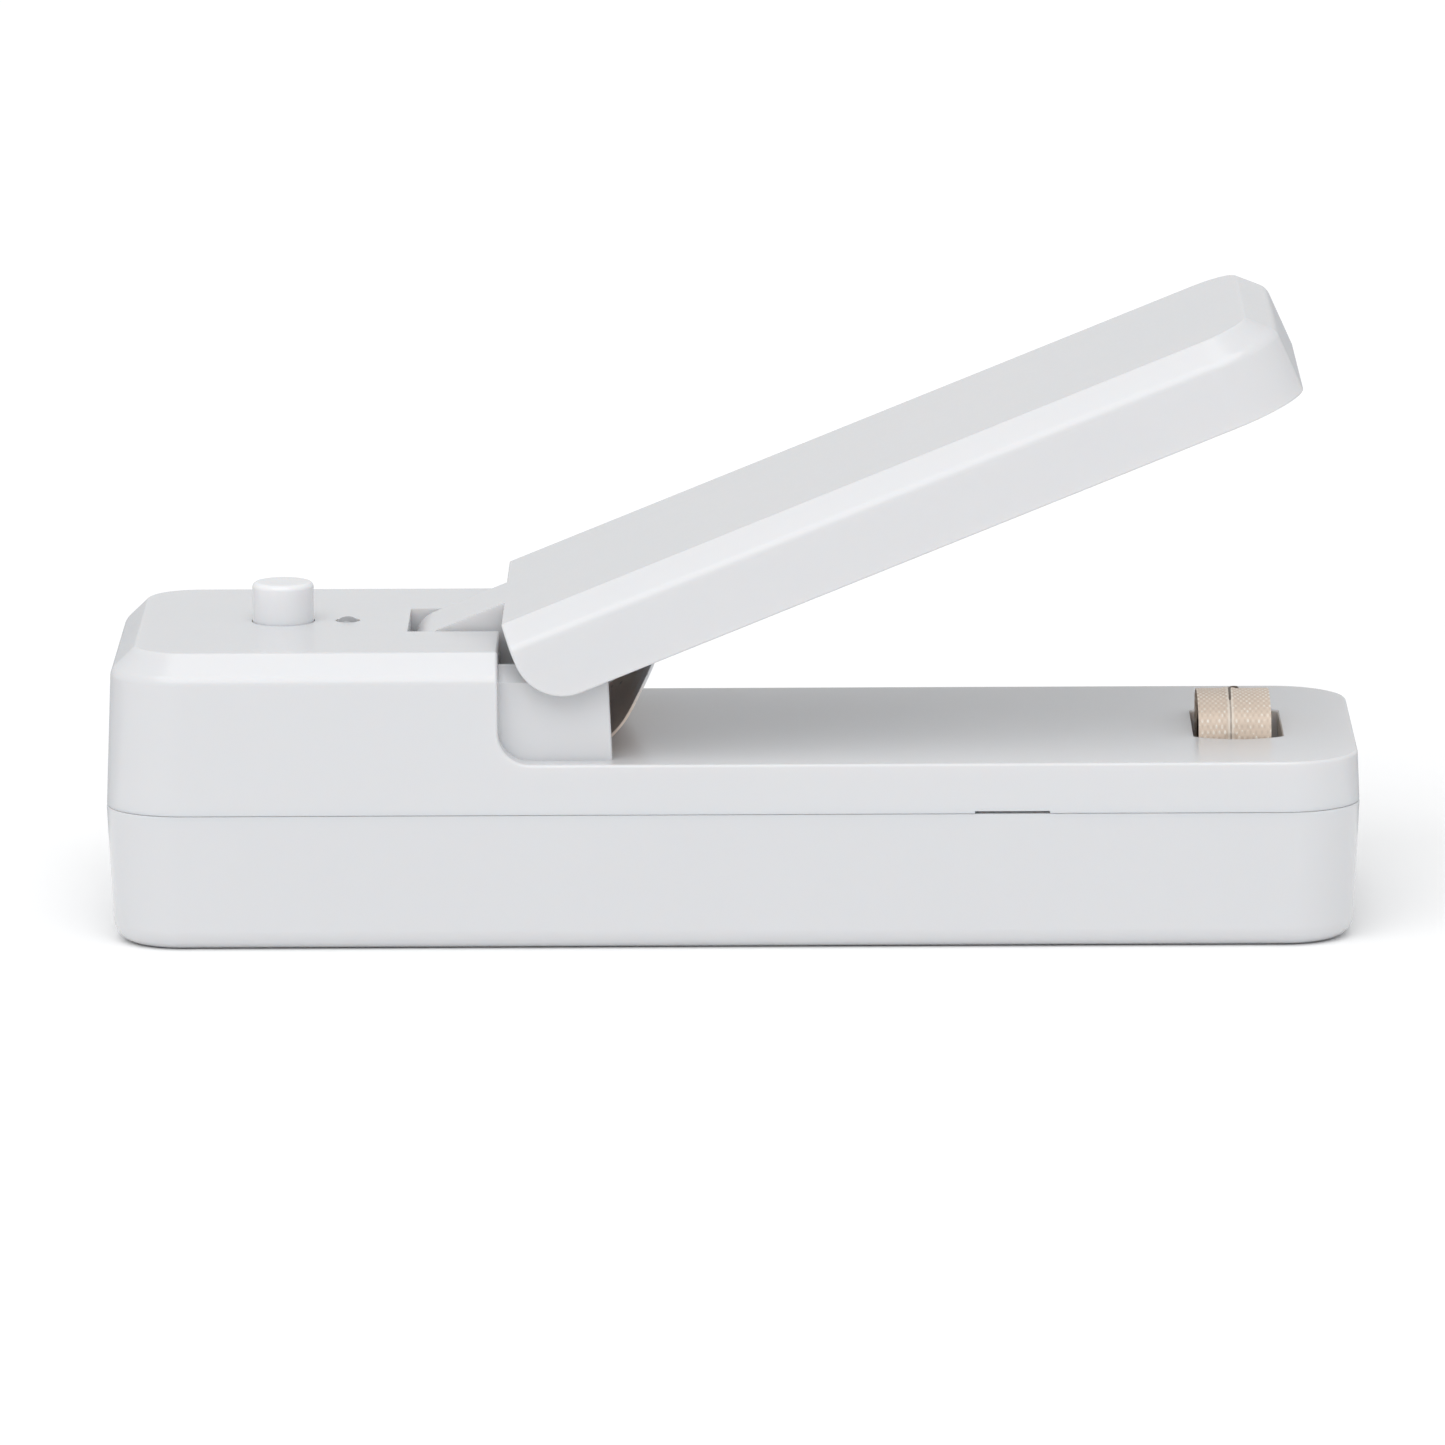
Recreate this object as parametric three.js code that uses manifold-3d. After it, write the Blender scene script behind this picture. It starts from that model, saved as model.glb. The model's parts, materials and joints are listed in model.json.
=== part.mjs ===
// A hand-held heat bag sealer: a two-part plastic case with a hinged press lever,
// a spring-loaded push button, an indicator light, two cells and a wire heater.
// Units are millimetres. X runs along the case from the button end (-X) to the
// sealing end (+X), Y across it, Z up. The origin is the middle of the underside.

import * as THREE from 'three';
import { mergeVertices } from 'three/addons/utils/BufferGeometryUtils.js';
import Module from 'manifold-3d';

const wasm = await Module();
wasm.setup();

const degrees = Math.PI / 180;

// ---- Case ------------------------------------------------------------------
const caseLength = 158;
const caseWidth = 54;
const blockHeight = 37.6;
const blockRise = 13.8;
const partingHeight = 17.4;
const blockLength = 49.6;
const cornerRadius = 9.5;
const caseWall = 2;
const topChamfer = 3;
const bottomRadius = 2.6;
const blockFillet = 4;
const upperDraft = 2.2 * degrees;
const lowerDraft = 2.7 * degrees;
const lipHeight = 2.4;
const lipThickness = 1.2;
const lipRoot = 3;
const notchWidth = 9.4;
const notchHeight = 0.5;
const notchDepth = 1.1;
const notchInset = 43.9;

// ---- Lever, its hinge and the cheeks it straddles ---------------------------
const openAngle = 22 * degrees;
const leverGap = 2.6;
const leverDeckGap = 2.5;
const leverWall = 1.8;
const leverTopWall = 1.5;
const leverHeelRadius = 6.3;
const leverTipInset = 1.3;
const leverRibThickness = 1.4;
const leverRibSpacing = 24;
const leverRibRise = 3;
const leverRibInset = 2;
const hingeInset = 7.4;
const hingeDepth = 3.9;
const pinRadius = 1.5;
const tongueWidth = 15;
const tongueRoot = 8;
const slotSideClearance = 0.8;
const slotEndClearance = 0.5;
const slotFloorClearance = 1.1;
const slotWall = 2.4;
const cheekLength = 13.8;
const cheekThickness = 2.5;
const cheekBevel = 2;
const cheekDraft = 2.4 * degrees;
const cheekTopClearance = 0.4;
const cheekSideClearance = 0.9;

// ---- Heater and the pad that presses on it ----------------------------------
const heaterInset = 15.4;
const heaterBlockWidth = 8.6;
const heaterBlockLength = 16.8;
const heaterRise = 3.7;
const heaterTopRadius = 20;
const heaterEdgeRadius = 1.6;
const heaterDraft = 12 * degrees;
const ribbonWidth = 1.6;
const ribbonThickness = 0.25;
const ribbonLift = 0.06;
const tapeWidth = 9.2;
const tapeThickness = 0.25;
const tapeLift = 0.4;
const pocketWidth = 11.2;
const pocketLength = 21.8;
const pocketEndRadius = 9;
const pocketShift = 0.45;
const pocketDepth = 4.4;
const pocketWall = 1.3;
const ribbonTail = 3.2;
const terminalWidth = 4.4;
const terminalThickness = 0.8;
const terminalHeight = 3.6;
const terminalFoot = 3;
const padThickness = 2.2;
const padMargin = 1.4;
const padCarrierWall = 1.4;
const padCarrierFlange = 4.4;
const padCarrierRecess = 1.2;
const padCarrierFlangeWidth = 8;

// ---- Push button, switch, light and circuit board ---------------------------
const buttonInset = 21.8;
const buttonRadius = 3.9;
const buttonProud = 5.05;
const buttonEdgeRadius = 0.7;
const buttonTravel = 1.8;
const buttonFlangeWidth = 1.7;
const buttonFlangeThickness = 1.2;
const buttonStemRadius = 2;
const lightSpacing = 8.2;
const lightRadius = 1.5;
const lightProud = 0.5;
const lightFlangeWidth = 0.4;
const lightLength = 5.3;
const lightLegRadius = 0.3;
const lightLegSpacing = 2.54;
const boardDrop = 13.6;
const boardThickness = 1.6;
const boardLength = 29;
const boardWidth = 34;
const boardScrewSpacing = 24;
const boardScrewInset = 3.4;
const boardLeadInset = 4.6;
const boardBossRadius = 2.6;
const switchSize = 6;
const switchHeight = 3.5;
const plungerHeight = 1.5;
const plungerRadius = 1.7;
const buttonSpringRadius = 4.95;
const buttonSpringWire = 0.5;
const buttonSpringTurns = 4;

// ---- Cells, their tray and contacts -----------------------------------------
const cellRadius = 7.1;
const cellLength = 49.2;
const cellNubRadius = 2.7;
const cellNubHeight = 1;
const cellGap = 0.8;
const cellEdge = 0.6;
const trayGap = 1;
const trayWall = 1.5;
const trayDepth = 11;
const trayDeckGap = 2.9;
const trayEarLength = 6.6;
const trayEarWidth = 7;
const contactThickness = 0.4;
const contactWidth = 11;
const contactTail = 1.6;
const contactTailWidth = 3;
const cellSpringLength = 3.6;
const cellSpringRadius = 3.4;
const cellSpringWire = 0.6;
const cellSpringTurns = 3;

// ---- Leaf spring that holds the lever open ----------------------------------
const leafThickness = 0.5;
const leafWidth = 39;
const leafScrewSpacing = 12;
const leafScrewInset = 3.2;
const leafBendInset = 2.9;
const leafBossDrop = 1.6;
// Where the rising part of the strip goes, measured from the bend at the end of its foot.
const leafRise = [
  [1.5, 0.65],
  [3.3, 2.1],
  [5.07, 4.22],
  [6.88, 7.62],
  [8.64, 11.45],
  [10.1, 15.9],
  [11.5, 20.2],
  [13.6, 23.2],
];

// ---- Screws and wires -------------------------------------------------------
const screwRadius = 1.1;
const screwHeadRadius = 2.1;
const screwHeadHeight = 1.5;
const screwBossRadius = 3;
const boardScrewLength = 7;
const leafScrewLength = 4.2;
const trayScrewLength = 4.6;
const carrierScrewLength = 6;
const leadRadius = 0.6;
const leadSideGap = 1;
const leadEndGap = 2;
const leadBoardReach = 3.5;
const leadDropReach = 3;

// ---- Clearances and facets --------------------------------------------------
const looseFit = 0.3;
const closeFit = 0.15;
const cornerSegments = 4;
const roundSegments = 24;
const domeSegments = 6;
const tiny = 0.01;
const past = 1;

// ---- Values worked out from the sizes above ---------------------------------
const deckHeight = blockHeight - blockRise;
const blockFace = blockLength - caseLength / 2;
const buttonX = buttonInset - caseLength / 2;
const lightX = buttonX + lightSpacing;
const heaterX = caseLength / 2 - heaterInset;
const notchX = caseLength / 2 - notchInset;
const leverRimHeight = deckHeight + leverDeckGap;
const boardHeight = blockHeight - boardDrop;
const leverEnd = blockFace + leverGap;
const hingeX = blockFace - hingeInset;
const hingeZ = blockHeight - hingeDepth;
const knuckleRadius = hingeDepth;
const slotHalfWidth = tongueWidth / 2 + slotSideClearance;
const slotStart = hingeX - knuckleRadius - slotEndClearance;
const slotFloor = hingeZ - knuckleRadius - slotFloorClearance;
const leverUnderside = blockHeight - leverTopWall;
const cheekTop = leverUnderside - cheekTopClearance;
const cheekEnd = blockFace + cheekLength;
const deckUnderside = deckHeight - caseWall;
const blockUnderside = blockHeight - caseWall;
const pocketHalfLength = pocketLength / 2;
const pocketX = heaterX + pocketShift;
const pocketFloor = deckHeight - pocketDepth;
const pocketBottom = pocketFloor - pocketWall;
const domeTop = deckHeight + heaterRise;
const tapeTop = domeTop + tapeLift + tapeThickness;
const padBottom = tapeTop + closeFit;
const padTop = padBottom + padThickness;
const carrierPlateTop = leverRimHeight + padCarrierRecess + padCarrierWall;
const boardEnd = slotStart - slotWall - looseFit;
const boardScrewX = boardEnd - boardLength + boardScrewInset;
const cellPitch = 2 * cellRadius + cellGap;
const trayInnerLength = cellLength + cellNubHeight + cellSpringLength
  + 2 * contactThickness + 4 * closeFit;
const trayTop = deckUnderside - trayDeckGap;
const trayStart = blockFace + trayGap + trayEarLength;
const trayEnd = trayStart + trayInnerLength + 2 * trayWall;
const trayHalfWidth = cellPitch / 2 + cellRadius + looseFit;
const cellHeight = trayTop - trayWall - looseFit - cellRadius;
const firstContact = trayStart + trayWall + closeFit;
const lastContact = trayEnd - trayWall - closeFit - contactThickness;
const leafFootHeight = deckHeight + closeFit;
const leafBend = cheekEnd - leafBendInset;
const leafFootStart = blockFace + blockFillet + looseFit;

// ---- Building blocks --------------------------------------------------------

/** Turns a closed three.js geometry into a solid that can be joined and cut. */
function solid(geometry) {
  const bare = geometry.index ? geometry.toNonIndexed() : geometry.clone();
  bare.deleteAttribute('normal');
  bare.deleteAttribute('uv');
  const merged = mergeVertices(bare, 1e-5);
  const corners = merged.index.array;
  const triangles = [];
  for (let index = 0; index < corners.length; index += 3) {
    const [a, b, c] = corners.slice(index, index + 3);
    if (a !== b && b !== c && c !== a) {
      triangles.push(a, b, c);
    }
  }
  return new wasm.Manifold(new wasm.Mesh({
    numProp: 3,
    vertProperties: new Float32Array(merged.attributes.position.array),
    triVerts: new Uint32Array(triangles),
  }));
}

/** Joins a list of solids into one. */
function join(solids) {
  return solids.reduce((whole, piece) => whole.add(piece));
}

/** Takes each solid of a list away from a body. */
function cut(body, tools) {
  return tools.reduce((rest, tool) => rest.subtract(tool), body);
}

/** A named mesh made from a solid. */
function meshOf(name, body, material) {
  const { vertProperties, triVerts } = body.getMesh();
  const geometry = new THREE.BufferGeometry();
  geometry.setAttribute('position', new THREE.BufferAttribute(vertProperties, 3));
  geometry.setIndex(new THREE.BufferAttribute(triVerts, 1));
  geometry.computeVertexNormals();
  const mesh = new THREE.Mesh(geometry, material);
  mesh.name = name;
  return mesh;
}

/** A standard material from a colour, a roughness and a metalness. */
function finish(color, roughness, metalness = 0) {
  return new THREE.MeshStandardMaterial({ color, roughness, metalness });
}

/** A box between two corners. */
function box(low, high) {
  const size = high.map((value, axis) => value - low[axis]);
  const geometry = new THREE.BoxGeometry(...size);
  geometry.translate(...low.map((value, axis) => value + size[axis] / 2));
  return solid(geometry);
}

/** An upright round bar from one height to another. */
function post(radius, x, y, bottom, top, segments = roundSegments) {
  const geometry = new THREE.CylinderGeometry(radius, radius, top - bottom, segments);
  geometry.rotateX(Math.PI / 2);
  geometry.translate(x, y, (bottom + top) / 2);
  return solid(geometry);
}

/** A round bar lying across the case, centred on the middle plane. */
function crossBar(radius, x, z, length) {
  const geometry = new THREE.CylinderGeometry(radius, radius, length, roundSegments);
  geometry.translate(x, 0, z);
  return solid(geometry);
}

/** An upright turned body from points of [radius, height]. */
function turned(points, x, y) {
  const profile = points.map(([radius, height]) => new THREE.Vector2(radius, height));
  const geometry = new THREE.LatheGeometry(profile, roundSegments);
  geometry.rotateX(Math.PI / 2);
  geometry.translate(x, y, 0);
  return solid(geometry);
}

/** Extrudes a side outline, drawn in X and Z, across the case between two Y values. */
function acrossCase(shape, from, to) {
  const geometry = new THREE.ExtrudeGeometry(shape, {
    depth: to - from,
    bevelEnabled: false,
    curveSegments: cornerSegments,
  });
  geometry.rotateX(Math.PI / 2);
  geometry.translate(0, to, 0);
  return solid(geometry);
}

/** Extrudes an end outline, drawn in Y and Z, along the case between two X values. */
function alongCase(shape, from, to) {
  const geometry = new THREE.ExtrudeGeometry(shape, {
    depth: to - from,
    bevelEnabled: false,
    curveSegments: cornerSegments,
  });
  geometry.rotateX(Math.PI / 2);
  geometry.rotateZ(Math.PI / 2);
  geometry.translate(from, 0, 0);
  return solid(geometry);
}

/** A closed outline through points. */
function outline(points) {
  return new THREE.Shape(points.map(([u, v]) => new THREE.Vector2(u, v)));
}

/** The plan of the case: a rectangle with round corners. */
function plan() {
  const x = caseLength / 2;
  const y = caseWidth / 2;
  const r = cornerRadius;
  const shape = new THREE.Shape();
  shape.absarc(x - r, y - r, r, 0, 90 * degrees);
  shape.absarc(r - x, y - r, r, 90 * degrees, 180 * degrees);
  shape.absarc(r - x, r - y, r, 180 * degrees, 270 * degrees);
  shape.absarc(x - r, r - y, r, 270 * degrees, 360 * degrees);
  return shape;
}

/** A solid with the plan of the case, set in by a given amount at each height. */
function layered(layers) {
  const geometry = new THREE.ExtrudeGeometry(plan(), {
    depth: layers.length - 1,
    steps: layers.length - 1,
    bevelEnabled: false,
    curveSegments: cornerSegments,
  });
  const position = geometry.attributes.position;
  for (let index = 0; index < position.count; index += 1) {
    const { inset, z } = layers[Math.round(position.getZ(index))];
    const radius = Math.max(cornerRadius - inset, looseFit);
    const moved = [caseLength / 2, caseWidth / 2].map((half, axis) => {
      const value = position.getComponent(index, axis);
      const side = Math.sign(value);
      const direction = (value - side * (half - cornerRadius)) / cornerRadius;
      return side * (half - inset - radius) + direction * radius;
    });
    position.setXYZ(index, moved[0], moved[1], z);
  }
  return solid(geometry);
}

/** How far the draft sets the upper walls in at a height. */
function upperInset(z) {
  return (z - partingHeight) * Math.tan(upperDraft);
}

/** How far the draft sets the lower walls in at a height. */
function lowerInset(z) {
  return (partingHeight - z) * Math.tan(lowerDraft);
}

/** The chamfered outer form that the block and the closed lever share. */
function chamferedForm(bottom) {
  const shoulder = blockHeight - topChamfer;
  return layered([
    { z: bottom, inset: upperInset(bottom) },
    { z: shoulder, inset: upperInset(shoulder) },
    { z: blockHeight, inset: upperInset(shoulder) + topChamfer },
  ]);
}

/** The hollow inside that form, with a side wall and a top wall. */
function chamferedHollow(bottom, sideWall, topWall) {
  const ceiling = blockHeight - topWall;
  const slope = topChamfer - topWall / 3;
  const shoulder = ceiling - slope;
  return layered([
    { z: bottom, inset: upperInset(bottom) + sideWall },
    { z: shoulder, inset: upperInset(shoulder) + sideWall },
    { z: ceiling, inset: upperInset(shoulder) + sideWall + slope },
  ]);
}

/** Half the outer width of the upper walls at a height. */
function upperHalfWidth(z) {
  return caseWidth / 2 - upperInset(z);
}

/** A pan-head screw whose head sits at a height and points up or down. */
function screw(x, y, seat, length, direction) {
  const head = seat - direction * screwHeadHeight;
  const tip = seat + direction * length;
  return post(screwHeadRadius, x, y, Math.min(seat, head), Math.max(seat, head), 16)
    .add(post(screwRadius, x, y, Math.min(seat - direction * tiny, tip),
      Math.max(seat - direction * tiny, tip), 12));
}

/** A helix around the Z axis. */
class Helix extends THREE.Curve {
  constructor(radius, height, turns) {
    super();
    this.radius = radius;
    this.height = height;
    this.turns = turns;
  }

  getPoint(t, target = new THREE.Vector3()) {
    const angle = t * this.turns * 2 * Math.PI;
    return target.set(
      this.radius * Math.cos(angle),
      this.radius * Math.sin(angle),
      t * this.height,
    );
  }
}

/** A round wire that follows a curve. */
function wire(curve, radius, steps) {
  const section = new THREE.Shape();
  section.absarc(0, 0, radius, 0, 2 * Math.PI);
  return new THREE.ExtrudeGeometry(section, {
    steps,
    extrudePath: curve,
    bevelEnabled: false,
    curveSegments: cornerSegments,
  });
}

/** A coil spring around the Z axis, as long as its height, ends included. */
function coil(radius, wireRadius, height, turns) {
  const curve = new Helix(radius, height - 2 * wireRadius, turns);
  const geometry = wire(curve, wireRadius, turns * 14);
  geometry.translate(0, 0, wireRadius);
  return geometry;
}

// ---- Case parts ---------------------------------------------------------------

const whitePlastic = finish(0xe4e4e6, 0.32);

/** The wall that stands up from the lower case inside the upper one. */
function caseLip() {
  const inner = caseWall + looseFit + lipThickness;
  const top = partingHeight + lipHeight;
  const root = partingHeight - lipRoot;
  const upper = layered([
    { z: partingHeight - tiny, inset: caseWall + looseFit },
    { z: top, inset: caseWall + looseFit + upperInset(top) },
  ]);
  const lower = layered([
    { z: root - lipThickness, inset: caseWall + lowerInset(root) - tiny },
    { z: partingHeight, inset: caseWall - tiny },
  ]);
  const hole = layered([
    { z: root - lipThickness - past, inset: caseWall - past },
    { z: root - lipThickness, inset: caseWall + lowerInset(root) },
    { z: root, inset: inner },
    { z: top + past, inset: inner + upperInset(top) },
  ]);
  return upper.add(lower).subtract(hole);
}

/** The lower shell: an open tub with a rounded bottom edge and a locating lip. */
function lowerCase() {
  const steps = 5;
  const layers = [];
  for (let step = 0; step <= steps; step += 1) {
    const angle = (step / steps) * 90 * degrees;
    const z = bottomRadius * (1 - Math.cos(angle));
    layers.push({ z, inset: lowerInset(z) + bottomRadius * (1 - Math.sin(angle)) });
  }
  layers.push({ z: partingHeight, inset: 0 });
  const hollow = layered([
    { z: caseWall, inset: caseWall + lowerInset(caseWall) + bottomRadius / 2 },
    { z: caseWall + bottomRadius / 2, inset: caseWall + lowerInset(caseWall) },
    { z: partingHeight + past, inset: caseWall },
  ]);
  return layered(layers).subtract(hollow).add(caseLip());
}

/** The side outline of the upper case: the block, a round inside corner and the deck. */
function blockAndDeckOutline(face, deck, fillet, left, right, bottom, top) {
  const shape = new THREE.Shape();
  shape.moveTo(left, bottom);
  shape.lineTo(right, bottom);
  shape.lineTo(right, deck);
  if (fillet > 0) {
    shape.lineTo(face + fillet, deck);
    shape.absarc(face + fillet, deck + fillet, fillet, 270 * degrees, 180 * degrees, true);
  } else {
    shape.lineTo(face, deck);
  }
  shape.lineTo(face, top);
  shape.lineTo(left, top);
  return shape;
}

/** The two upright cheeks on the deck that the lever's sides pass over. */
function cheeks() {
  const outer = upperHalfWidth(cheekTop) - leverWall - cheekSideClearance;
  const right = cheekEnd + (cheekTop - deckHeight) * Math.tan(cheekDraft);
  const side = acrossCase(outline([
    [blockFace - tiny, deckHeight - tiny],
    [right, deckHeight - tiny],
    [cheekEnd, cheekTop],
    [blockFace - tiny, cheekTop],
  ]), -caseWidth / 2, caseWidth / 2);
  return [-1, 1].map((hand) => {
    const points = [
      [hand * outer, deckHeight - past],
      [hand * outer, cheekTop - cheekBevel],
      [hand * (outer - cheekBevel), cheekTop + tiny],
      [hand * (outer - cheekThickness), cheekTop + tiny],
      [hand * (outer - cheekThickness), deckHeight - past],
    ];
    return alongCase(outline(points), blockFace - past, right + past).intersect(side);
  });
}

/** Where the four screws of the cell tray stand, as [x, y] pairs. */
function trayScrewPlaces() {
  const reach = trayHalfWidth + trayWall - trayEarWidth / 2;
  const ends = [trayStart - trayEarLength / 2, trayEnd + trayEarLength / 2];
  return ends.flatMap((x) => [-1, 1].map((hand) => [x, hand * reach]));
}

/** Where the two screws of the circuit board stand. */
function boardScrewPlaces() {
  return [-1, 1].map((hand) => [boardScrewX, (hand * boardScrewSpacing) / 2]);
}

/** Where the two screws of the leaf spring stand. */
function leafScrewPlaces() {
  return [-1, 1].map((hand) => [leafBend - leafScrewInset, (hand * leafScrewSpacing) / 2]);
}

/** The upper shell: block, deck, hinge slot, cheeks, heater pocket and screw bosses. */
function upperCase() {
  const half = caseLength / 2 + past;
  const wide = caseWidth / 2 + past;
  const side = acrossCase(blockAndDeckOutline(blockFace, deckHeight, blockFillet,
    -half, half, partingHeight - past, blockHeight + past), -wide, wide);
  const hollowSide = acrossCase(blockAndDeckOutline(blockFace - caseWall, deckUnderside, 0,
    -half, half, partingHeight - 2 * past, blockHeight + past), -wide, wide);
  const shell = chamferedForm(partingHeight).intersect(side)
    .subtract(chamferedHollow(partingHeight - past, caseWall, caseWall).intersect(hollowSide));

  const slotWell = box(
    [slotStart - slotWall, -slotHalfWidth - slotWall, slotFloor - slotWall],
    [blockFace - tiny, slotHalfWidth + slotWall, blockUnderside + tiny],
  );
  const pocketWell = box(
    [pocketX - pocketWidth / 2 - pocketWall, -pocketHalfLength - pocketWall, pocketBottom],
    [pocketX + pocketWidth / 2 + pocketWall, pocketHalfLength + pocketWall,
      deckUnderside + tiny],
  );
  const trayBosses = trayScrewPlaces().map(([x, y]) => (
    post(screwBossRadius, x, y, trayTop + closeFit, deckUnderside + tiny)));
  const boardBosses = boardScrewPlaces().map(([x, y]) => (
    post(boardBossRadius, x, y, boardHeight + closeFit, blockUnderside + tiny)));
  const leafBosses = leafScrewPlaces().map(([x, y]) => (
    post(screwBossRadius, x, y, deckUnderside - leafBossDrop, deckUnderside + tiny)));

  const slot = box(
    [slotStart, -slotHalfWidth, slotFloor],
    [blockFace + past, slotHalfWidth, blockHeight + past],
  );
  const ends = [-1, 1].map((hand) => (
    post(pocketEndRadius, pocketX, hand * (pocketHalfLength - pocketEndRadius),
      pocketFloor, deckHeight + past, 2 * roundSegments)));
  const middle = box(
    [pocketX - pocketWidth / 2, pocketEndRadius - pocketHalfLength, pocketFloor],
    [pocketX + pocketWidth / 2, pocketHalfLength - pocketEndRadius, deckHeight + past],
  );
  const bounds = box(
    [pocketX - pocketWidth / 2, -pocketHalfLength, pocketFloor],
    [pocketX + pocketWidth / 2, pocketHalfLength, deckHeight + past],
  );
  const pocket = join([...ends, middle]).intersect(bounds);
  const ribbonHoles = [-1, 1].map((hand) => {
    const inner = heaterBlockLength / 2 - looseFit;
    const outer = pocketHalfLength - looseFit;
    return box(
      [heaterX - ribbonWidth, Math.min(hand * inner, hand * outer), pocketBottom - past],
      [heaterX + ribbonWidth, Math.max(hand * inner, hand * outer), pocketFloor + past],
    );
  });
  const pinHole = crossBar(pinRadius + closeFit, hingeX, hingeZ, 2 * slotHalfWidth + 4 * slotWall);
  const buttonHole = post(buttonRadius + looseFit, buttonX, 0,
    blockUnderside - past, blockHeight + past);
  const lightHole = post(lightRadius + closeFit, lightX, 0,
    blockUnderside - past, blockHeight + past);
  const trayHoles = trayScrewPlaces().map(([x, y]) => (
    post(screwRadius + closeFit, x, y, trayTop - past, deckHeight - caseWall / 2, 12)));
  const boardHoles = boardScrewPlaces().map(([x, y]) => (
    post(screwRadius + closeFit, x, y, boardHeight - past, boardHeight + boardScrewLength, 12)));
  const leafHoles = leafScrewPlaces().map(([x, y]) => (
    post(screwRadius + closeFit, x, y, deckUnderside - leafBossDrop - past,
      deckHeight + past, 12)));
  const notch = box(
    [notchX - notchWidth / 2, -caseWidth / 2 - past, partingHeight - past],
    [notchX + notchWidth / 2, notchDepth - caseWidth / 2, partingHeight + notchHeight],
  );

  const body = join([shell, slotWell, pocketWell, ...trayBosses, ...boardBosses,
    ...leafBosses, ...cheeks()]);
  return cut(body, [slot, pocket, ...ribbonHoles, pinHole, buttonHole, lightHole,
    ...trayHoles, ...boardHoles, ...leafHoles, notch]);
}

/** The steel pin that the lever turns on. */
function hingePin() {
  return crossBar(pinRadius, hingeX, hingeZ, 2 * (slotHalfWidth + slotWall) + 2 * looseFit);
}

// ---- Button end ---------------------------------------------------------------

/** The push button: a cap with a rounded top edge, a flange and a stem. */
function pushButton() {
  const top = blockHeight + buttonProud;
  const flangeTop = blockUnderside - looseFit;
  const flangeBottom = flangeTop - buttonFlangeThickness;
  const stemBottom = boardHeight + switchHeight + plungerHeight + buttonTravel + closeFit;
  const points = [
    [0, stemBottom],
    [buttonStemRadius, stemBottom],
    [buttonStemRadius, flangeBottom],
    [buttonRadius + buttonFlangeWidth, flangeBottom],
    [buttonRadius + buttonFlangeWidth, flangeTop],
    [buttonRadius, flangeTop],
  ];
  const steps = 4;
  for (let step = 0; step <= steps; step += 1) {
    const angle = (step / steps) * 90 * degrees;
    points.push([
      buttonRadius - buttonEdgeRadius * (1 - Math.cos(angle)),
      top - buttonEdgeRadius * (1 - Math.sin(angle)),
    ]);
  }
  points.push([0, top]);
  return turned(points, buttonX, 0);
}

/** The indicator light: a round-topped body with a flange and two legs. */
function indicatorLight() {
  const top = blockHeight + lightProud;
  const bottom = top - lightLength;
  const flangeTop = blockUnderside - closeFit;
  const points = [
    [0, bottom],
    [lightRadius + lightFlangeWidth, bottom],
    [lightRadius + lightFlangeWidth, flangeTop],
    [lightRadius, flangeTop],
  ];
  const steps = 5;
  for (let step = 0; step < steps; step += 1) {
    const angle = (step / steps) * 90 * degrees;
    points.push([
      lightRadius * Math.cos(angle),
      top - lightRadius * (1 - Math.sin(angle)),
    ]);
  }
  points.push([0, top]);
  const legs = [-1, 1].map((hand) => post(lightLegRadius, lightX,
    (hand * lightLegSpacing) / 2, boardHeight - boardThickness - 1, bottom + tiny, 8));
  return join([turned(points, lightX, 0), ...legs]);
}

/** The circuit board, with holes for its screws and for the light's legs. */
function circuitBoard() {
  const board = box(
    [boardEnd - boardLength, -boardWidth / 2, boardHeight - boardThickness],
    [boardEnd, boardWidth / 2, boardHeight],
  );
  const screwHoles = boardScrewPlaces().map(([x, y]) => (
    post(screwRadius + closeFit, x, y, boardHeight - 2 * boardThickness, boardHeight + past, 12)));
  const legHoles = [-1, 1].map((hand) => post(lightLegRadius + closeFit, lightX,
    (hand * lightLegSpacing) / 2, boardHeight - 2 * boardThickness, boardHeight + past, 8));
  return cut(board, [...screwHoles, ...legHoles]);
}

/** The push switch on the board, with its round plunger. */
function pushSwitch() {
  const base = boardHeight + tiny;
  const body = box(
    [buttonX - switchSize / 2, -switchSize / 2, base],
    [buttonX + switchSize / 2, switchSize / 2, base + switchHeight],
  );
  return body.add(post(plungerRadius, buttonX, 0, base + switchHeight - tiny,
    boardHeight + switchHeight + plungerHeight));
}

/** The coil spring that returns the button. */
function buttonSpring() {
  const bottom = boardHeight + closeFit;
  const top = blockUnderside - looseFit - buttonFlangeThickness - closeFit;
  const geometry = coil(buttonSpringRadius, buttonSpringWire / 2, top - bottom, buttonSpringTurns);
  geometry.translate(buttonX, 0, bottom);
  return solid(geometry);
}

// ---- Leaf spring --------------------------------------------------------------

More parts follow.
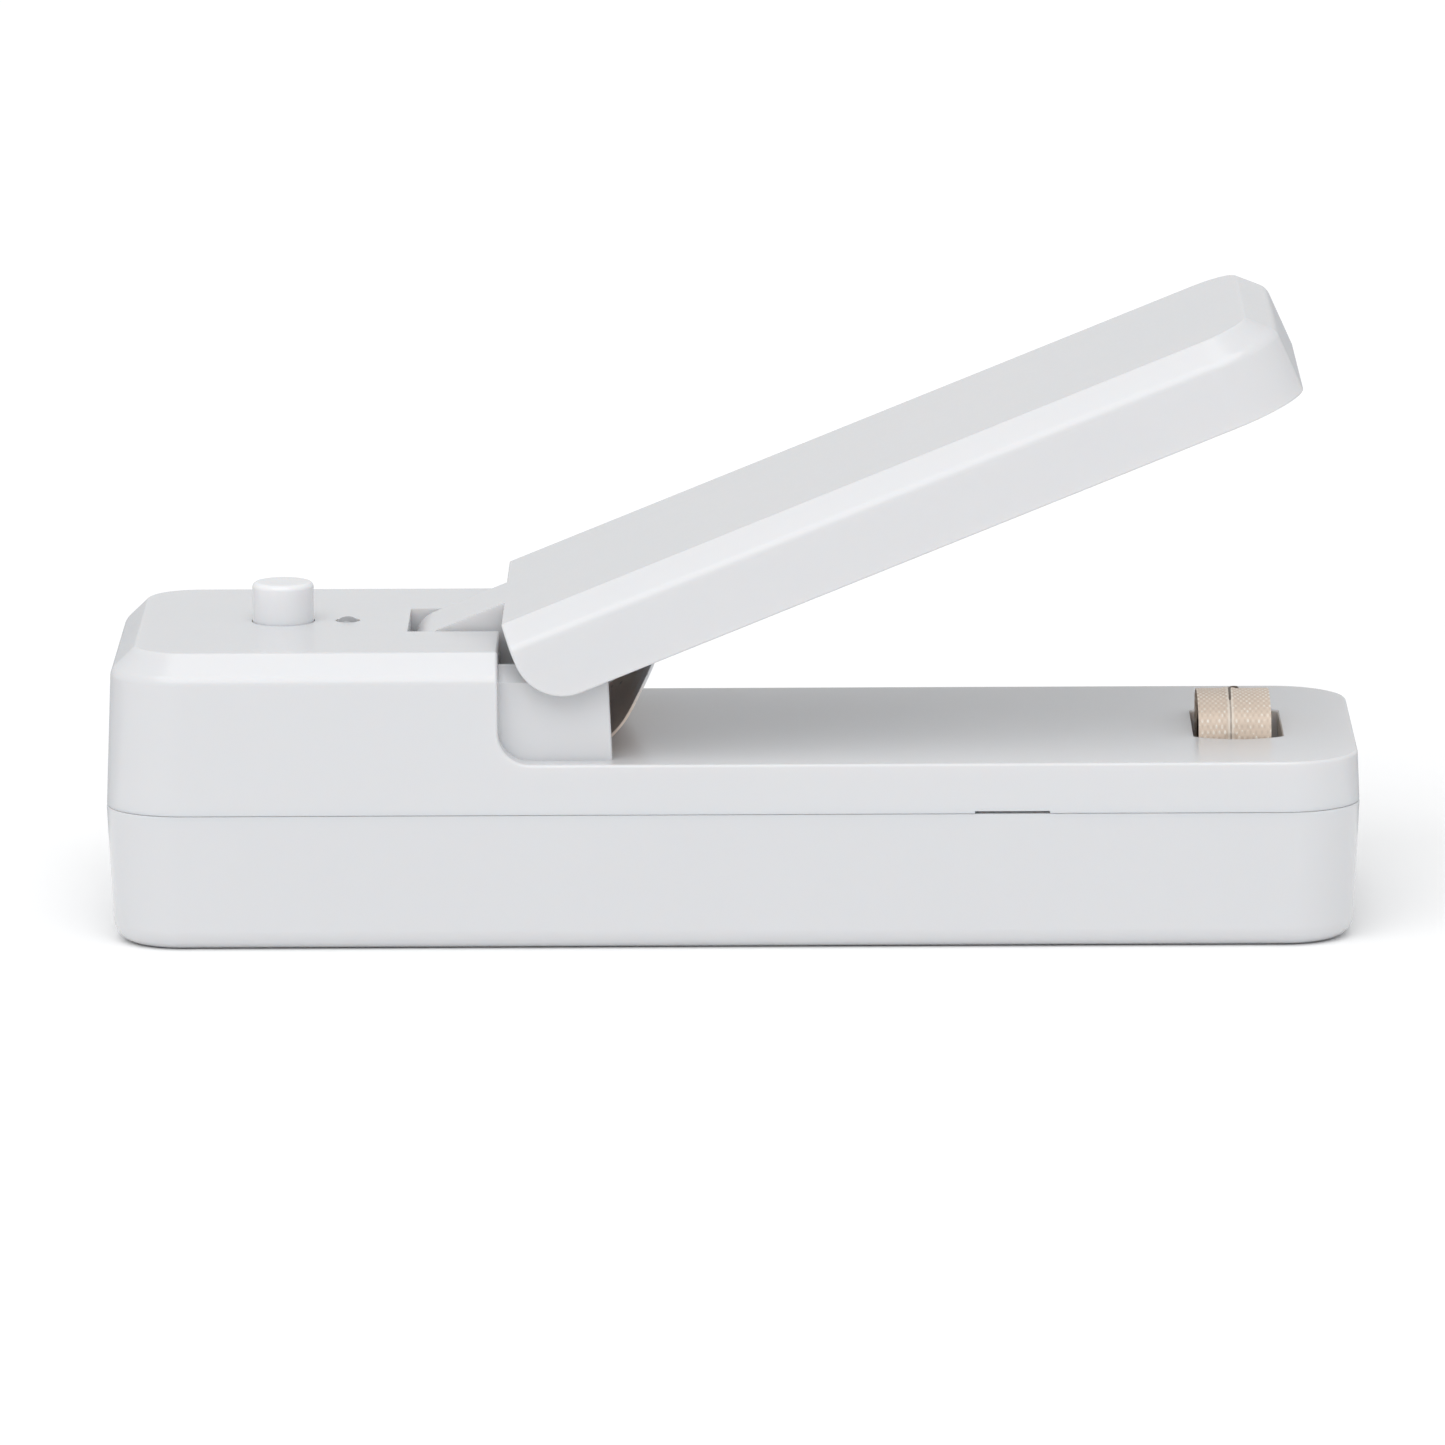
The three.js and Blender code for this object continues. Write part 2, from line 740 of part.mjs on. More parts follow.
/** The bent strip that pushes the lever open. */
function leafSpring() {
  const start = new THREE.Vector2(leafFootStart, leafFootHeight);
  const bend = new THREE.Vector2(leafBend, leafFootHeight);
  const curve = new THREE.SplineCurve([
    bend,
    ...leafRise.map(([x, z]) => new THREE.Vector2(leafBend + x, leafFootHeight + z)),
  ]);
  const line = [start, ...curve.getPoints(5 * leafRise.length)];
  const sides = [0, leafThickness].map((offset) => line.map((point, index) => {
    const before = line[Math.max(index - 1, 0)];
    const after = line[Math.min(index + 1, line.length - 1)];
    const along = after.clone().sub(before).normalize();
    return point.clone().add(new THREE.Vector2(-along.y, along.x).multiplyScalar(offset));
  }));
  const strip = new THREE.Shape([...sides[0], ...sides[1].reverse()]);
  const holes = leafScrewPlaces().map(([x, y]) => post(screwRadius + looseFit, x, y,
    leafFootHeight - past, leafFootHeight + leafThickness + past, 12));
  return cut(acrossCase(strip, -leafWidth / 2, leafWidth / 2), holes);
}

// ---- Heater -------------------------------------------------------------------

/** Points of an arc in the Y-Z plane, from one angle from upright to another. */
function archPoints(y, z, radius, from, to, steps) {
  return Array.from({ length: steps + 1 }, (_, step) => {
    const angle = from + ((to - from) * step) / steps;
    return new THREE.Vector2(y + radius * Math.sin(angle), z + radius * Math.cos(angle));
  });
}

/** The end outline of the heater dome, set out by an offset, down to a height. */
function domeCurve(offset, bottom) {
  const half = heaterBlockLength / 2;
  const archCentre = domeTop - heaterTopRadius;
  const reach = heaterTopRadius - heaterEdgeRadius;
  // The angle from upright at which the top arch meets the round edge.
  const meet = Math.asin((half * Math.cos(heaterDraft)
    + (deckHeight - archCentre) * Math.sin(heaterDraft) - heaterEdgeRadius) / reach) - heaterDraft;
  const edgeY = reach * Math.sin(meet);
  const edgeZ = archCentre + reach * Math.cos(meet);
  const outer = half + offset / Math.cos(heaterDraft);
  const right = [
    ...archPoints(0, archCentre, heaterTopRadius + offset, 0, meet, domeSegments),
    ...archPoints(edgeY, edgeZ, heaterEdgeRadius + offset, meet, 90 * degrees - heaterDraft,
      domeSegments).slice(1),
    new THREE.Vector2(outer, deckHeight),
    new THREE.Vector2(outer, bottom),
  ];
  const left = right.slice(1).map((point) => new THREE.Vector2(-point.x, point.y));
  return [...right.reverse(), ...left];
}

/** A band over the dome between two offsets, of a width along the case. */
function domeBand(inner, outer, bottom, width) {
  const shape = new THREE.Shape([...domeCurve(outer, bottom), ...domeCurve(inner, bottom).reverse()]);
  return alongCase(shape, heaterX - width / 2, heaterX + width / 2);
}

/** The ceramic block under the heating ribbon. */
function heaterBlock() {
  const shape = new THREE.Shape(domeCurve(0, pocketFloor + closeFit));
  return alongCase(shape, heaterX - heaterBlockWidth / 2, heaterX + heaterBlockWidth / 2);
}

/** The heating ribbon over the block, with tails through the pocket floor. */
function heatingRibbon() {
  return domeBand(ribbonLift, ribbonLift + ribbonThickness, pocketBottom - ribbonTail, ribbonWidth);
}

/** The coated tape over the ribbon. */
function heaterTape() {
  return domeBand(tapeLift, tapeLift + tapeThickness, pocketFloor + closeFit, tapeWidth);
}

/** A terminal that holds one tail of the ribbon under the pocket. */
function heaterTerminal(hand) {
  const outer = heaterBlockLength / 2 + ribbonLift + ribbonThickness + closeFit;
  const top = pocketBottom - closeFit;
  const near = Math.min(hand * outer, hand * (outer + terminalThickness));
  const upright = box(
    [heaterX - terminalWidth / 2, near, top - terminalHeight],
    [heaterX + terminalWidth / 2, near + terminalThickness, top],
  );
  const inward = Math.min(hand * (outer + terminalThickness - tiny),
    hand * (outer + terminalFoot));
  const foot = box(
    [heaterX - terminalWidth / 2, inward, top - terminalThickness],
    [heaterX + terminalWidth / 2, inward + terminalFoot - terminalThickness + tiny, top],
  );
  return upright.add(foot);
}

// ---- Cells --------------------------------------------------------------------

/** The tray that holds both cells up against the deck, open downwards. */
function cellTray() {
  const outer = trayHalfWidth + trayWall;
  const floor = trayTop - trayWall;
  const shell = box([trayStart, -outer, trayTop - trayDepth], [trayEnd, outer, trayTop]);
  const ears = trayScrewPlaces().map(([x, y]) => box(
    [x - trayEarLength / 2 - tiny, y - trayEarWidth / 2, floor],
    [x + trayEarLength / 2 + tiny, y + trayEarWidth / 2, trayTop],
  ));
  const bay = box(
    [trayStart + trayWall, -trayHalfWidth, trayTop - trayDepth - past],
    [trayEnd - trayWall, trayHalfWidth, floor],
  );
  const holes = trayScrewPlaces().map(([x, y]) => (
    post(screwRadius + closeFit, x, y, floor - past, trayTop + past, 12)));
  const tailSlots = [-1, 1].map((hand) => box(
    [lastContact - closeFit, (hand * cellPitch) / 2 - contactTailWidth / 2 - closeFit, floor - past],
    [lastContact + contactThickness + closeFit,
      (hand * cellPitch) / 2 + contactTailWidth / 2 + closeFit, trayTop + past],
  ));
  return cut(join([shell, ...ears]), [bay, ...holes, ...tailSlots]);
}

/** One cell, lying along X with its nub towards +X or -X. */
function cell(hand) {
  const profile = [
    [0, 0],
    [cellRadius - cellEdge, 0],
    [cellRadius, cellEdge],
    [cellRadius, cellLength - cellEdge],
    [cellRadius - cellEdge, cellLength],
    [cellNubRadius, cellLength],
    [cellNubRadius, cellLength + cellNubHeight],
    [0, cellLength + cellNubHeight],
  ].map(([radius, height]) => new THREE.Vector2(radius, height));
  const geometry = new THREE.LatheGeometry(profile, roundSegments);
  geometry.rotateZ(-hand * 90 * degrees);
  const springEnd = firstContact + contactThickness + closeFit + cellSpringLength;
  const start = hand > 0 ? springEnd : springEnd - cellSpringLength + cellLength + cellNubHeight;
  geometry.translate(start, (-hand * cellPitch) / 2, cellHeight);
  return solid(geometry);
}

/** A contact plate at an end of the tray, with a solder tail through its floor or without. */
function contactPlate(x, y, width, tail) {
  const floor = trayTop - trayWall;
  const plate = box(
    [x, y - width / 2, trayTop - trayDepth + closeFit],
    [x + contactThickness, y + width / 2, floor - closeFit],
  );
  if (!tail) {
    return plate;
  }
  return plate.add(box(
    [x, y - contactTailWidth / 2, floor - 2 * closeFit],
    [x + contactThickness, y + contactTailWidth / 2, trayTop + contactTail],
  ));
}

/** The coil that presses on the flat end of one cell. */
function cellSpring(hand) {
  const length = cellSpringLength - 2 * closeFit;
  const geometry = coil(cellSpringRadius, cellSpringWire / 2, length, cellSpringTurns);
  geometry.rotateY(hand * 90 * degrees);
  const start = hand > 0 ? firstContact + contactThickness + closeFit : lastContact - closeFit;
  geometry.translate(start, (-hand * cellPitch) / 2, cellHeight);
  return solid(geometry);
}

// ---- Wires --------------------------------------------------------------------

/** An insulated wire through points. */
function lead(points) {
  const curve = new THREE.CatmullRomCurve3(points.map((point) => new THREE.Vector3(...point)));
  return solid(wire(curve, leadRadius, 5 * points.length));
}

/** Where the leads run between the tray and the deck. */
const leadHeight = (trayTop + deckUnderside) / 2;

/** The wire from the board to the front end of the heating ribbon. */
function frontHeaterLead() {
  const side = trayHalfWidth + trayWall + leadSideGap;
  const outer = heaterBlockLength / 2 + terminalThickness + 2 * leadRadius;
  return lead([
    [boardEnd - leadBoardReach, boardLeadInset - boardWidth / 2,
      boardHeight - boardThickness - leadRadius - looseFit],
    [boardEnd + leadDropReach, -side, leadHeight + looseFit],
    [trayStart, -side, leadHeight],
    [trayEnd + trayEarLength, -side, leadHeight],
    [heaterX - pocketWidth, -outer - leadDropReach, pocketBottom],
    [heaterX - terminalWidth / 2 - leadEndGap, -outer, pocketBottom - terminalHeight / 2],
  ]);
}

/** The wire from the negative contact to the back end of the heating ribbon. */
function backHeaterLead() {
  const outer = heaterBlockLength / 2 + terminalThickness + 2 * leadRadius;
  return lead([
    [trayEnd + looseFit, cellPitch / 2, leadHeight],
    [trayEnd + trayEarLength, cellPitch / 2 + leadSideGap, leadHeight],
    [heaterX - pocketWidth, outer + leadSideGap, pocketBottom],
    [heaterX - terminalWidth / 2 - leadEndGap, outer, pocketBottom - terminalHeight / 2],
  ]);
}

/** The wire from the positive contact to the board. */
function cellLead() {
  return lead([
    [lastContact - looseFit - leadRadius, -cellPitch / 2, leadHeight],
    [lastContact - cellPitch / 2, -cellPitch / 4, leadHeight],
    [trayStart + cellPitch, 0, leadHeight],
    [boardEnd + leadDropReach, 0, leadHeight + looseFit],
    [boardEnd - leadBoardReach, 0, boardHeight - boardThickness - leadRadius - looseFit],
  ]);
}

// ---- Lever parts, drawn with the lever closed ----------------------------------

/** Where the two screws of the pad carrier stand. */
function carrierScrewPlaces() {
  const reach = pocketWidth / 2 + padCarrierWall + padCarrierFlange / 2;
  return [-1, 1].map((hand) => [heaterX + hand * reach, 0]);
}

/** The lever: a chamfered channel with a tongue that reaches into the hinge slot. */
function leverShell() {
  const half = caseLength / 2 + past;
  const wide = caseWidth / 2 + past;
  const heel = new THREE.Shape();
  heel.moveTo(leverEnd, blockHeight + past);
  heel.lineTo(leverEnd, leverRimHeight + leverHeelRadius);
  heel.absarc(leverEnd + leverHeelRadius, leverRimHeight + leverHeelRadius, leverHeelRadius,
    180 * degrees, 270 * degrees);
  heel.lineTo(half, leverRimHeight);
  heel.lineTo(half, blockHeight + past);
  const outer = chamferedForm(leverRimHeight - past).translate([-leverTipInset, 0, 0])
    .intersect(acrossCase(heel, -wide, wide));
  const channel = outer.subtract(
    chamferedHollow(leverRimHeight - 2 * past, leverWall, leverTopWall)
      .translate([-leverTipInset, 0, 0]));

  const knuckle = crossBar(knuckleRadius, hingeX, hingeZ, tongueWidth);
  const arm = box(
    [hingeX, -tongueWidth / 2, hingeZ - knuckleRadius],
    [leverEnd + tongueRoot, tongueWidth / 2, blockHeight],
  );
  const ribEnd = heaterX - pocketWidth / 2 - padCarrierWall - padCarrierFlange - leverRibInset;
  const ribs = [];
  for (let x = ribEnd; x > leverEnd + 2 * leverRibSpacing; x -= leverRibSpacing) {
    const rib = box(
      [x - leverRibThickness, -wide, leverRimHeight + leverRibRise],
      [x, wide, blockHeight + past],
    );
    ribs.push(rib.intersect(outer));
  }
  const bosses = carrierScrewPlaces().map(([x, y]) => (
    post(padCarrierFlange / 2 - looseFit, x, y, carrierPlateTop + looseFit,
      leverUnderside + tiny)));
  const bore = crossBar(pinRadius + looseFit, hingeX, hingeZ, tongueWidth + 2 * past);
  const screwHoles = carrierScrewPlaces().map(([x, y]) => (
    post(screwRadius + closeFit, x, y, carrierPlateTop, leverUnderside - looseFit, 12)));
  return cut(join([channel, knuckle, arm, ...ribs, ...bosses]), [bore, ...screwHoles]);
}

/** The carrier that holds the press pad inside the lever. */
function padCarrier() {
  const halfX = pocketWidth / 2 + padCarrierWall;
  const halfY = pocketHalfLength + padMargin + padCarrierWall;
  const cup = box(
    [heaterX - halfX, -halfY, carrierPlateTop - padCarrierWall],
    [heaterX + halfX, halfY, padTop + looseFit + padCarrierWall],
  );
  const flange = box(
    [heaterX - halfX - padCarrierFlange, -padCarrierFlangeWidth / 2,
      carrierPlateTop - padCarrierWall],
    [heaterX + halfX + padCarrierFlange, padCarrierFlangeWidth / 2, carrierPlateTop],
  );
  const bay = box(
    [heaterX - pocketWidth / 2, -pocketHalfLength - padMargin,
      carrierPlateTop - padCarrierWall - past],
    [heaterX + pocketWidth / 2, pocketHalfLength + padMargin, padTop + looseFit],
  );
  const holes = carrierScrewPlaces().map(([x, y]) => (
    post(screwRadius + looseFit, x, y, carrierPlateTop - 2 * padCarrierWall,
      carrierPlateTop + past, 12)));
  return cut(cup.add(flange), [bay, ...holes]);
}

/** The silicone pad that presses the bag onto the heater. */
function pressPad() {
  return box(
    [heaterX - pocketWidth / 2 + looseFit, looseFit - pocketHalfLength - padMargin, padBottom],
    [heaterX + pocketWidth / 2 - looseFit, pocketHalfLength + padMargin - looseFit, padTop],
  );
}

// ---- Assembly -----------------------------------------------------------------

const metal = finish(0xb8babd, 0.3, 0.9);
const blackPlastic = finish(0x1f2023, 0.5);
const model = new THREE.Group();

model.add(meshOf('lower_case', lowerCase(), whitePlastic.clone()));
model.add(meshOf('upper_case', upperCase(), whitePlastic.clone()));
model.add(meshOf('hinge_pin', hingePin(), metal.clone()));
model.add(meshOf('push_button', pushButton(), whitePlastic.clone()));
model.add(meshOf('button_spring', buttonSpring(), metal.clone()));
model.add(meshOf('push_switch', pushSwitch(), blackPlastic.clone()));
model.add(meshOf('indicator_light', indicatorLight(), finish(0x6f7276, 0.15)));
model.add(meshOf('circuit_board', circuitBoard(), finish(0x2e6b43, 0.45)));
boardScrewPlaces().forEach(([x, y], index) => {
  const body = screw(x, y, boardHeight - boardThickness - closeFit,
    boardScrewLength, 1);
  model.add(meshOf(`board_screw_${index + 1}`, body, metal.clone()));
});

model.add(meshOf('leaf_spring', leafSpring(), finish(0x9c9a96, 0.25, 1)));
leafScrewPlaces().forEach(([x, y], index) => {
  const body = screw(x, y, leafFootHeight + leafThickness + closeFit,
    leafScrewLength, -1);
  model.add(meshOf(`leaf_screw_${index + 1}`, body, metal.clone()));
});

model.add(meshOf('heater_block', heaterBlock(), finish(0xd9d4c8, 0.8)));
model.add(meshOf('heating_ribbon', heatingRibbon(), finish(0x6b625a, 0.4, 0.9)));
model.add(meshOf('heater_tape', heaterTape(), finish(0xd8c6b2, 0.55)));
model.add(meshOf('heater_terminal_front', heaterTerminal(-1), finish(0xb08a45, 0.35, 0.9)));
model.add(meshOf('heater_terminal_back', heaterTerminal(1), finish(0xb08a45, 0.35, 0.9)));

model.add(meshOf('cell_tray', cellTray(), finish(0xd4d4d2, 0.5)));
trayScrewPlaces().forEach(([x, y], index) => {
  const body = screw(x, y, trayTop - trayWall - closeFit, trayScrewLength, 1);
  model.add(meshOf(`tray_screw_${index + 1}`, body, metal.clone()));
});
model.add(meshOf('cell_front', cell(1), finish(0x2b2c2e, 0.35)));
model.add(meshOf('cell_back', cell(-1), finish(0x2b2c2e, 0.35)));
model.add(meshOf('link_contact', contactPlate(firstContact, 0, cellPitch + contactWidth, false),
  metal.clone()));
model.add(meshOf('positive_contact', contactPlate(lastContact, -cellPitch / 2, contactWidth, true),
  metal.clone()));
model.add(meshOf('negative_contact', contactPlate(lastContact, cellPitch / 2, contactWidth, true),
  metal.clone()));
model.add(meshOf('cell_spring_front', cellSpring(1), metal.clone()));
model.add(meshOf('cell_spring_back', cellSpring(-1), metal.clone()));
model.add(meshOf('cell_lead', cellLead(), finish(0xb3261e, 0.5)));
model.add(meshOf('heater_lead_front', frontHeaterLead(), finish(0xb3261e, 0.5)));
model.add(meshOf('heater_lead_back', backHeaterLead(), finish(0x1c1c1e, 0.5)));

// The lever group turns on the hinge and is drawn open.
const hinge = new THREE.Group();
hinge.position.set(hingeX, 0, hingeZ);
hinge.rotation.y = -openAngle;
const lever = new THREE.Group();
lever.position.set(-hingeX, 0, -hingeZ);
lever.add(meshOf('lever_shell', leverShell(), whitePlastic.clone()));
lever.add(meshOf('pad_carrier', padCarrier(), finish(0xd4d4d2, 0.5)));
lever.add(meshOf('press_pad', pressPad(), finish(0xc9c5bd, 0.8)));
carrierScrewPlaces().forEach(([x, y], index) => {
  const body = screw(x, y, carrierPlateTop - padCarrierWall - looseFit,
    carrierScrewLength, 1);
  lever.add(meshOf(`carrier_screw_${index + 1}`, body, metal.clone()));
});
hinge.add(lever);
model.add(hinge);

export default model;
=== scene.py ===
"""Hand-held bag sealer: shells, lever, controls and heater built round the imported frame."""

import json
import math

import bpy
from mathutils import Matrix, Vector


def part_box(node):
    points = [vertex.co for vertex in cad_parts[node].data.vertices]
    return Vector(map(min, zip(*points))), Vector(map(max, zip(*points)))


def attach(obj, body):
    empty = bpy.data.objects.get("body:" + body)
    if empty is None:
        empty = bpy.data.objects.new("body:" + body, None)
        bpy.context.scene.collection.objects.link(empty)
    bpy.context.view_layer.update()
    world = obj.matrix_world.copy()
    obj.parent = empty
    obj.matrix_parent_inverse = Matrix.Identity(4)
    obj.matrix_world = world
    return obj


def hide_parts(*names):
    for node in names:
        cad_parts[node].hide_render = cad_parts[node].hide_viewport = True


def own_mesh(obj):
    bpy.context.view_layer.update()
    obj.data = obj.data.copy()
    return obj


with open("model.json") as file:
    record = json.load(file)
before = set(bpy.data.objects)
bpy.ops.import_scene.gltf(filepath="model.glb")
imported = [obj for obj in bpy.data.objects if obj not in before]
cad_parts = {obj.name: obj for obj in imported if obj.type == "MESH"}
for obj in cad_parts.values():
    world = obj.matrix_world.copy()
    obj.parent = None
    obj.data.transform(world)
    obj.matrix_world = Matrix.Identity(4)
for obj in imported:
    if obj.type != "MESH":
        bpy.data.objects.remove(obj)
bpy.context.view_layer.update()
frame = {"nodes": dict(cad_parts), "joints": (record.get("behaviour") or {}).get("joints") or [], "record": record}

bl_info = {
    "name": "Bag Sealer",
    "version": (1, 0, 0),
    "blender": (4, 5, 0),
    "location": "View3D > Sidebar > Bag Sealer",
    "description": "Builds a hand-held bag sealer with its shells, lever, heater and controls",
    "category": "Add Mesh",
}

MM = 0.001
WELD = 0.5 * MM           # how far a boss or a well runs into what it joins
SCREW_PLAY = 0.15 * MM    # round a screw's thread
BUTTON_PLAY = 0.13 * MM   # round the button
LIGHT_PLAY = 0.08 * MM    # round the light
PIN_PLAY = 0.15 * MM      # round the hinge pin in the walls of the slot
PIECE_GAP = 0.3 * MM      # between loose neighbours
PAD_LIFT = 0.15 * MM      # from the tape to the pad of the closed lever
BOSS = 3 * MM             # radius of the bosses under the deck
BOARD_BOSS = 2.6 * MM     # radius of the circuit board's bosses
BUTTON_PAINTED_LIGHT = 1.14        # painted light: how much paler the button's copy of the shell plastic is painted, standing in for the light on its sides

JOINTS = {joint["name"]: joint for joint in frame["joints"]}
HINGE = Vector(JOINTS["lever_hinge"]["pos_m"])
OPEN_ANGLE = math.radians(JOINTS["lever_hinge"]["range_deg"][1])
CASE_LOW, CASE_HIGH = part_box("upper_case")
HALF_LENGTH = CASE_HIGH.x
HALF_WIDTH = CASE_HIGH.y
PARTING = CASE_LOW.z
BLOCK_TOP = CASE_HIGH.z
BUTTON_LOW, BUTTON_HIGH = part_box("push_button")
LIGHT_LOW, LIGHT_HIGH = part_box("indicator_light")
BLOCK_LOW, BLOCK_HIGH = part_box("heater_block")
TAPE_LOW, TAPE_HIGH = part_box("heater_tape")
RIBBON_LOW, RIBBON_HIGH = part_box("heating_ribbon")
TRAY_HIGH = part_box("cell_tray")[1]
BOARD_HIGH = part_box("circuit_board")[1]
LEAF_LOW, LEAF_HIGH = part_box("leaf_spring")
PIN_LOW, PIN_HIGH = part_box("hinge_pin")


def centre(node):
    """The middle of a CAD node."""
    low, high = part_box(node)
    return (low + high) / 2


# ---- Sizes and colours a user would change ---------------------------------------------


def length(name, description, millimetres):
    """A length property with its default in millimetres."""
    return bpy.props.FloatProperty(
        name=name, description=description, default=millimetres * MM,
        unit="LENGTH", subtype="DISTANCE", precision=5)


def angle(name, description, degrees):
    """An angle property with its default in degrees."""
    return bpy.props.FloatProperty(
        name=name, description=description, default=math.radians(degrees),
        unit="ROTATION", subtype="ANGLE")


def colour(name, description, value):
    """A colour property."""
    return bpy.props.FloatVectorProperty(
        name=name, description=description, default=value, size=3,
        min=0.0, max=1.0, subtype="COLOR")


def number(name, description, value):
    """A plain number property."""
    return bpy.props.FloatProperty(name=name, description=description, default=value)


class SealerCase(bpy.types.PropertyGroup):
    """Sizes of the two case shells."""

    deck: length("Deck height", "Height of the low deck above the table", 23.8)
    block_length: length("Block length", "Length of the raised block", 49.6)
    corner: length("Corner radius", "Radius of the corners in plan", 9.5)
    wall: length("Wall", "Thickness of the shell walls", 2.0)
    chamfer: length("Chamfer", "Width of the slope round the block's top", 3.0)
    foot: length("Bottom radius", "Radius of the bottom edge", 2.6)
    fillet: length("Block fillet", "Round inside corner between the deck and the block", 4.0)
    upper_draft: angle("Upper draft", "Slope of the upper walls", 2.2)
    lower_draft: angle("Lower draft", "Slope of the lower walls", 2.7)
    crisp: length("Crisp edge", "Offset of the bevel on the crisp edges", 0.22)
    soft: length("Soft edge", "Offset of the bevel on the soft shoulder edges", 0.75)
    deck_edge: length("Deck edge", "Offset of the bevel round the deck", 0.4)
    seam: length("Seam edge", "Offset of the bevel along the parting line", 0.16)
    lip: length("Lip height", "Height of the locating lip above the parting line", 2.4)
    notch_width: length("Notch width", "Width of the pry notch", 9.4)
    notch_height: length("Notch height", "Height of the pry notch", 0.35)
    notch_inset: length("Notch inset", "From the sealing end to the notch's middle", 43.9)


class SealerLever(bpy.types.PropertyGroup):
    """Sizes of the lever, its hinge slot and its cheeks."""

    gap: length("Lever gap", "From the block's face to the closed lever's end", 2.6)
    tip: length("Tip inset", "How far the lever ends short of the case", 1.3)
    deck_gap: length("Deck gap", "From the deck to the closed lever's rim", 2.5)
    wall: length("Side wall", "Thickness of the lever's side walls", 1.8)
    top_wall: length("Top wall", "Thickness of the lever's top", 1.5)
    heel: length("Heel radius", "Round lower corner at the hinge end", 6.3)
    tongue: length("Tongue width", "Width of the arm in the hinge slot", 15.0)
    tongue_root: length("Tongue root", "How far the arm runs into the lever", 8.0)
    slot_gap: length("Slot gap", "Clearance beside the arm", 0.8)
    slot_wall: length("Slot wall", "Thickness of the walls round the slot", 2.4)
    slot_floor: length("Slot floor gap", "Clearance under the arm", 1.1)
    cheek_length: length("Cheek length", "Length of the cheeks on the deck", 13.8)
    cheek_wall: length("Cheek thickness", "Thickness of each cheek", 2.5)
    cheek_gap: length("Cheek gap", "Clearance from a cheek to the lever's side", 0.9)
    cheek_bevel: length("Cheek bevel", "Slope along the top outer edge of a cheek", 2.0)
    rib: length("Rib thickness", "Thickness of the ribs across the lever", 1.4)
    rib_pitch: length("Rib pitch", "Distance between the ribs", 24.0)


class SealerHeater(bpy.types.PropertyGroup):
    """Sizes of the heater and the pad over it."""

    pocket: length("Pocket width", "Size of the heater pocket along the case", 11.2)
    pocket_length: length("Pocket length", "Size of the heater pocket across the case", 21.8)
    pocket_round: length("Pocket end radius", "Radius of the pocket's rounded ends", 9.0)
    pocket_shift: length("Pocket shift", "How far the pocket sits past the heater", 0.45)
    pocket_depth: length("Pocket depth", "Depth of the heater pocket", 4.4)
    pocket_wall: length("Pocket wall", "Thickness of the pocket's walls", 1.3)
    arch: length("Dome arch", "Radius of the dome's top", 20.0)
    arch_edge: length("Dome edge", "Radius of the dome's round edges", 1.6)
    arch_draft: angle("Dome draft", "Lean of the dome's ends", 12.0)
    ridge: length("Ridge height", "How far the ribbon lifts the tape", 0.16)
    ridge_width: length("Ridge width", "Half width of the lifted strip", 0.75)
    seam: length("Seam", "Where the tape's seam runs, from the middle of the heater", -0.5)
    wire: length("Wire radius", "Radius of the wire that shows at the top of the seam", 0.17)
    weave: length("Weave pitch", "Distance between two raised threads of the tape", 0.72)
    weave_long: length("Weave pitch along", "The same distance along the tape", 1.45)
    carrier_wall: length("Carrier wall", "Thickness of the pad carrier", 1.4)
    carrier_flange: length("Carrier flange", "Length of the carrier's screw flanges", 4.4)
    carrier_recess: length("Carrier recess", "From the lever's rim to the carrier", 1.2)
    pad: length("Pad thickness", "Thickness of the press pad", 2.2)
    pad_margin: length("Pad margin", "How far the pad passes the pocket at each end", 1.4)


class SealerControls(bpy.types.PropertyGroup):
    """Sizes of the button, the light, the strip spring and the fasteners."""

    button: length("Button radius", "Radius of the push button", 3.9)
    button_edge: length("Button edge", "Radius of the button's top edge", 0.7)
    flange: length("Flange width", "How far the button's flange stands out", 1.7)
    light: length("Light radius", "Radius of the indicator light", 1.5)
    strip: length("Strip thickness", "Thickness of the leaf spring", 0.35)
    screw: length("Screw radius", "Radius of the screws' threads", 1.1)
    screw_head: length("Screw head radius", "Radius of the screws' heads", 2.1)
    pin: length("Pin radius", "Radius of the hinge pin", 1.5)
    coil_wire: length("Coil wire", "Radius of the wire of the button's coil", 0.25)
    coil_turns: number("Coil turns", "Turns of the button's coil", 4.0)
    button_travel: length("Button travel", "How far the button moves down", 1.8)


class SealerColours(bpy.types.PropertyGroup):
    """Colours of the finishes."""

    shell: colour("Shell", "White plastic of the case", (0.66, 0.665, 0.68))
    inner: colour("Inner plastic", "Plain plastic of the inner parts", (0.66, 0.66, 0.64))
    tape: colour("Tape", "Ground colour of the glass tape", (0.80, 0.66, 0.54))
    tape_thread: colour("Tape thread", "Raised threads of the glass tape", (0.97, 0.91, 0.82))
    steel: colour("Steel", "Zinc-plated steel", (0.60, 0.61, 0.62))
    # painted light: the strip's colour is set far paler than steel, standing in for the light the shaded strip
    # reflects
    strip: colour("Spring strip", "Rolled spring steel", (0.84, 0.85, 0.87))
    brass: colour("Brass", "Terminal brass", (0.62, 0.45, 0.20))
    light: colour("Light", "Smoky clear light body", (0.36, 0.365, 0.38))


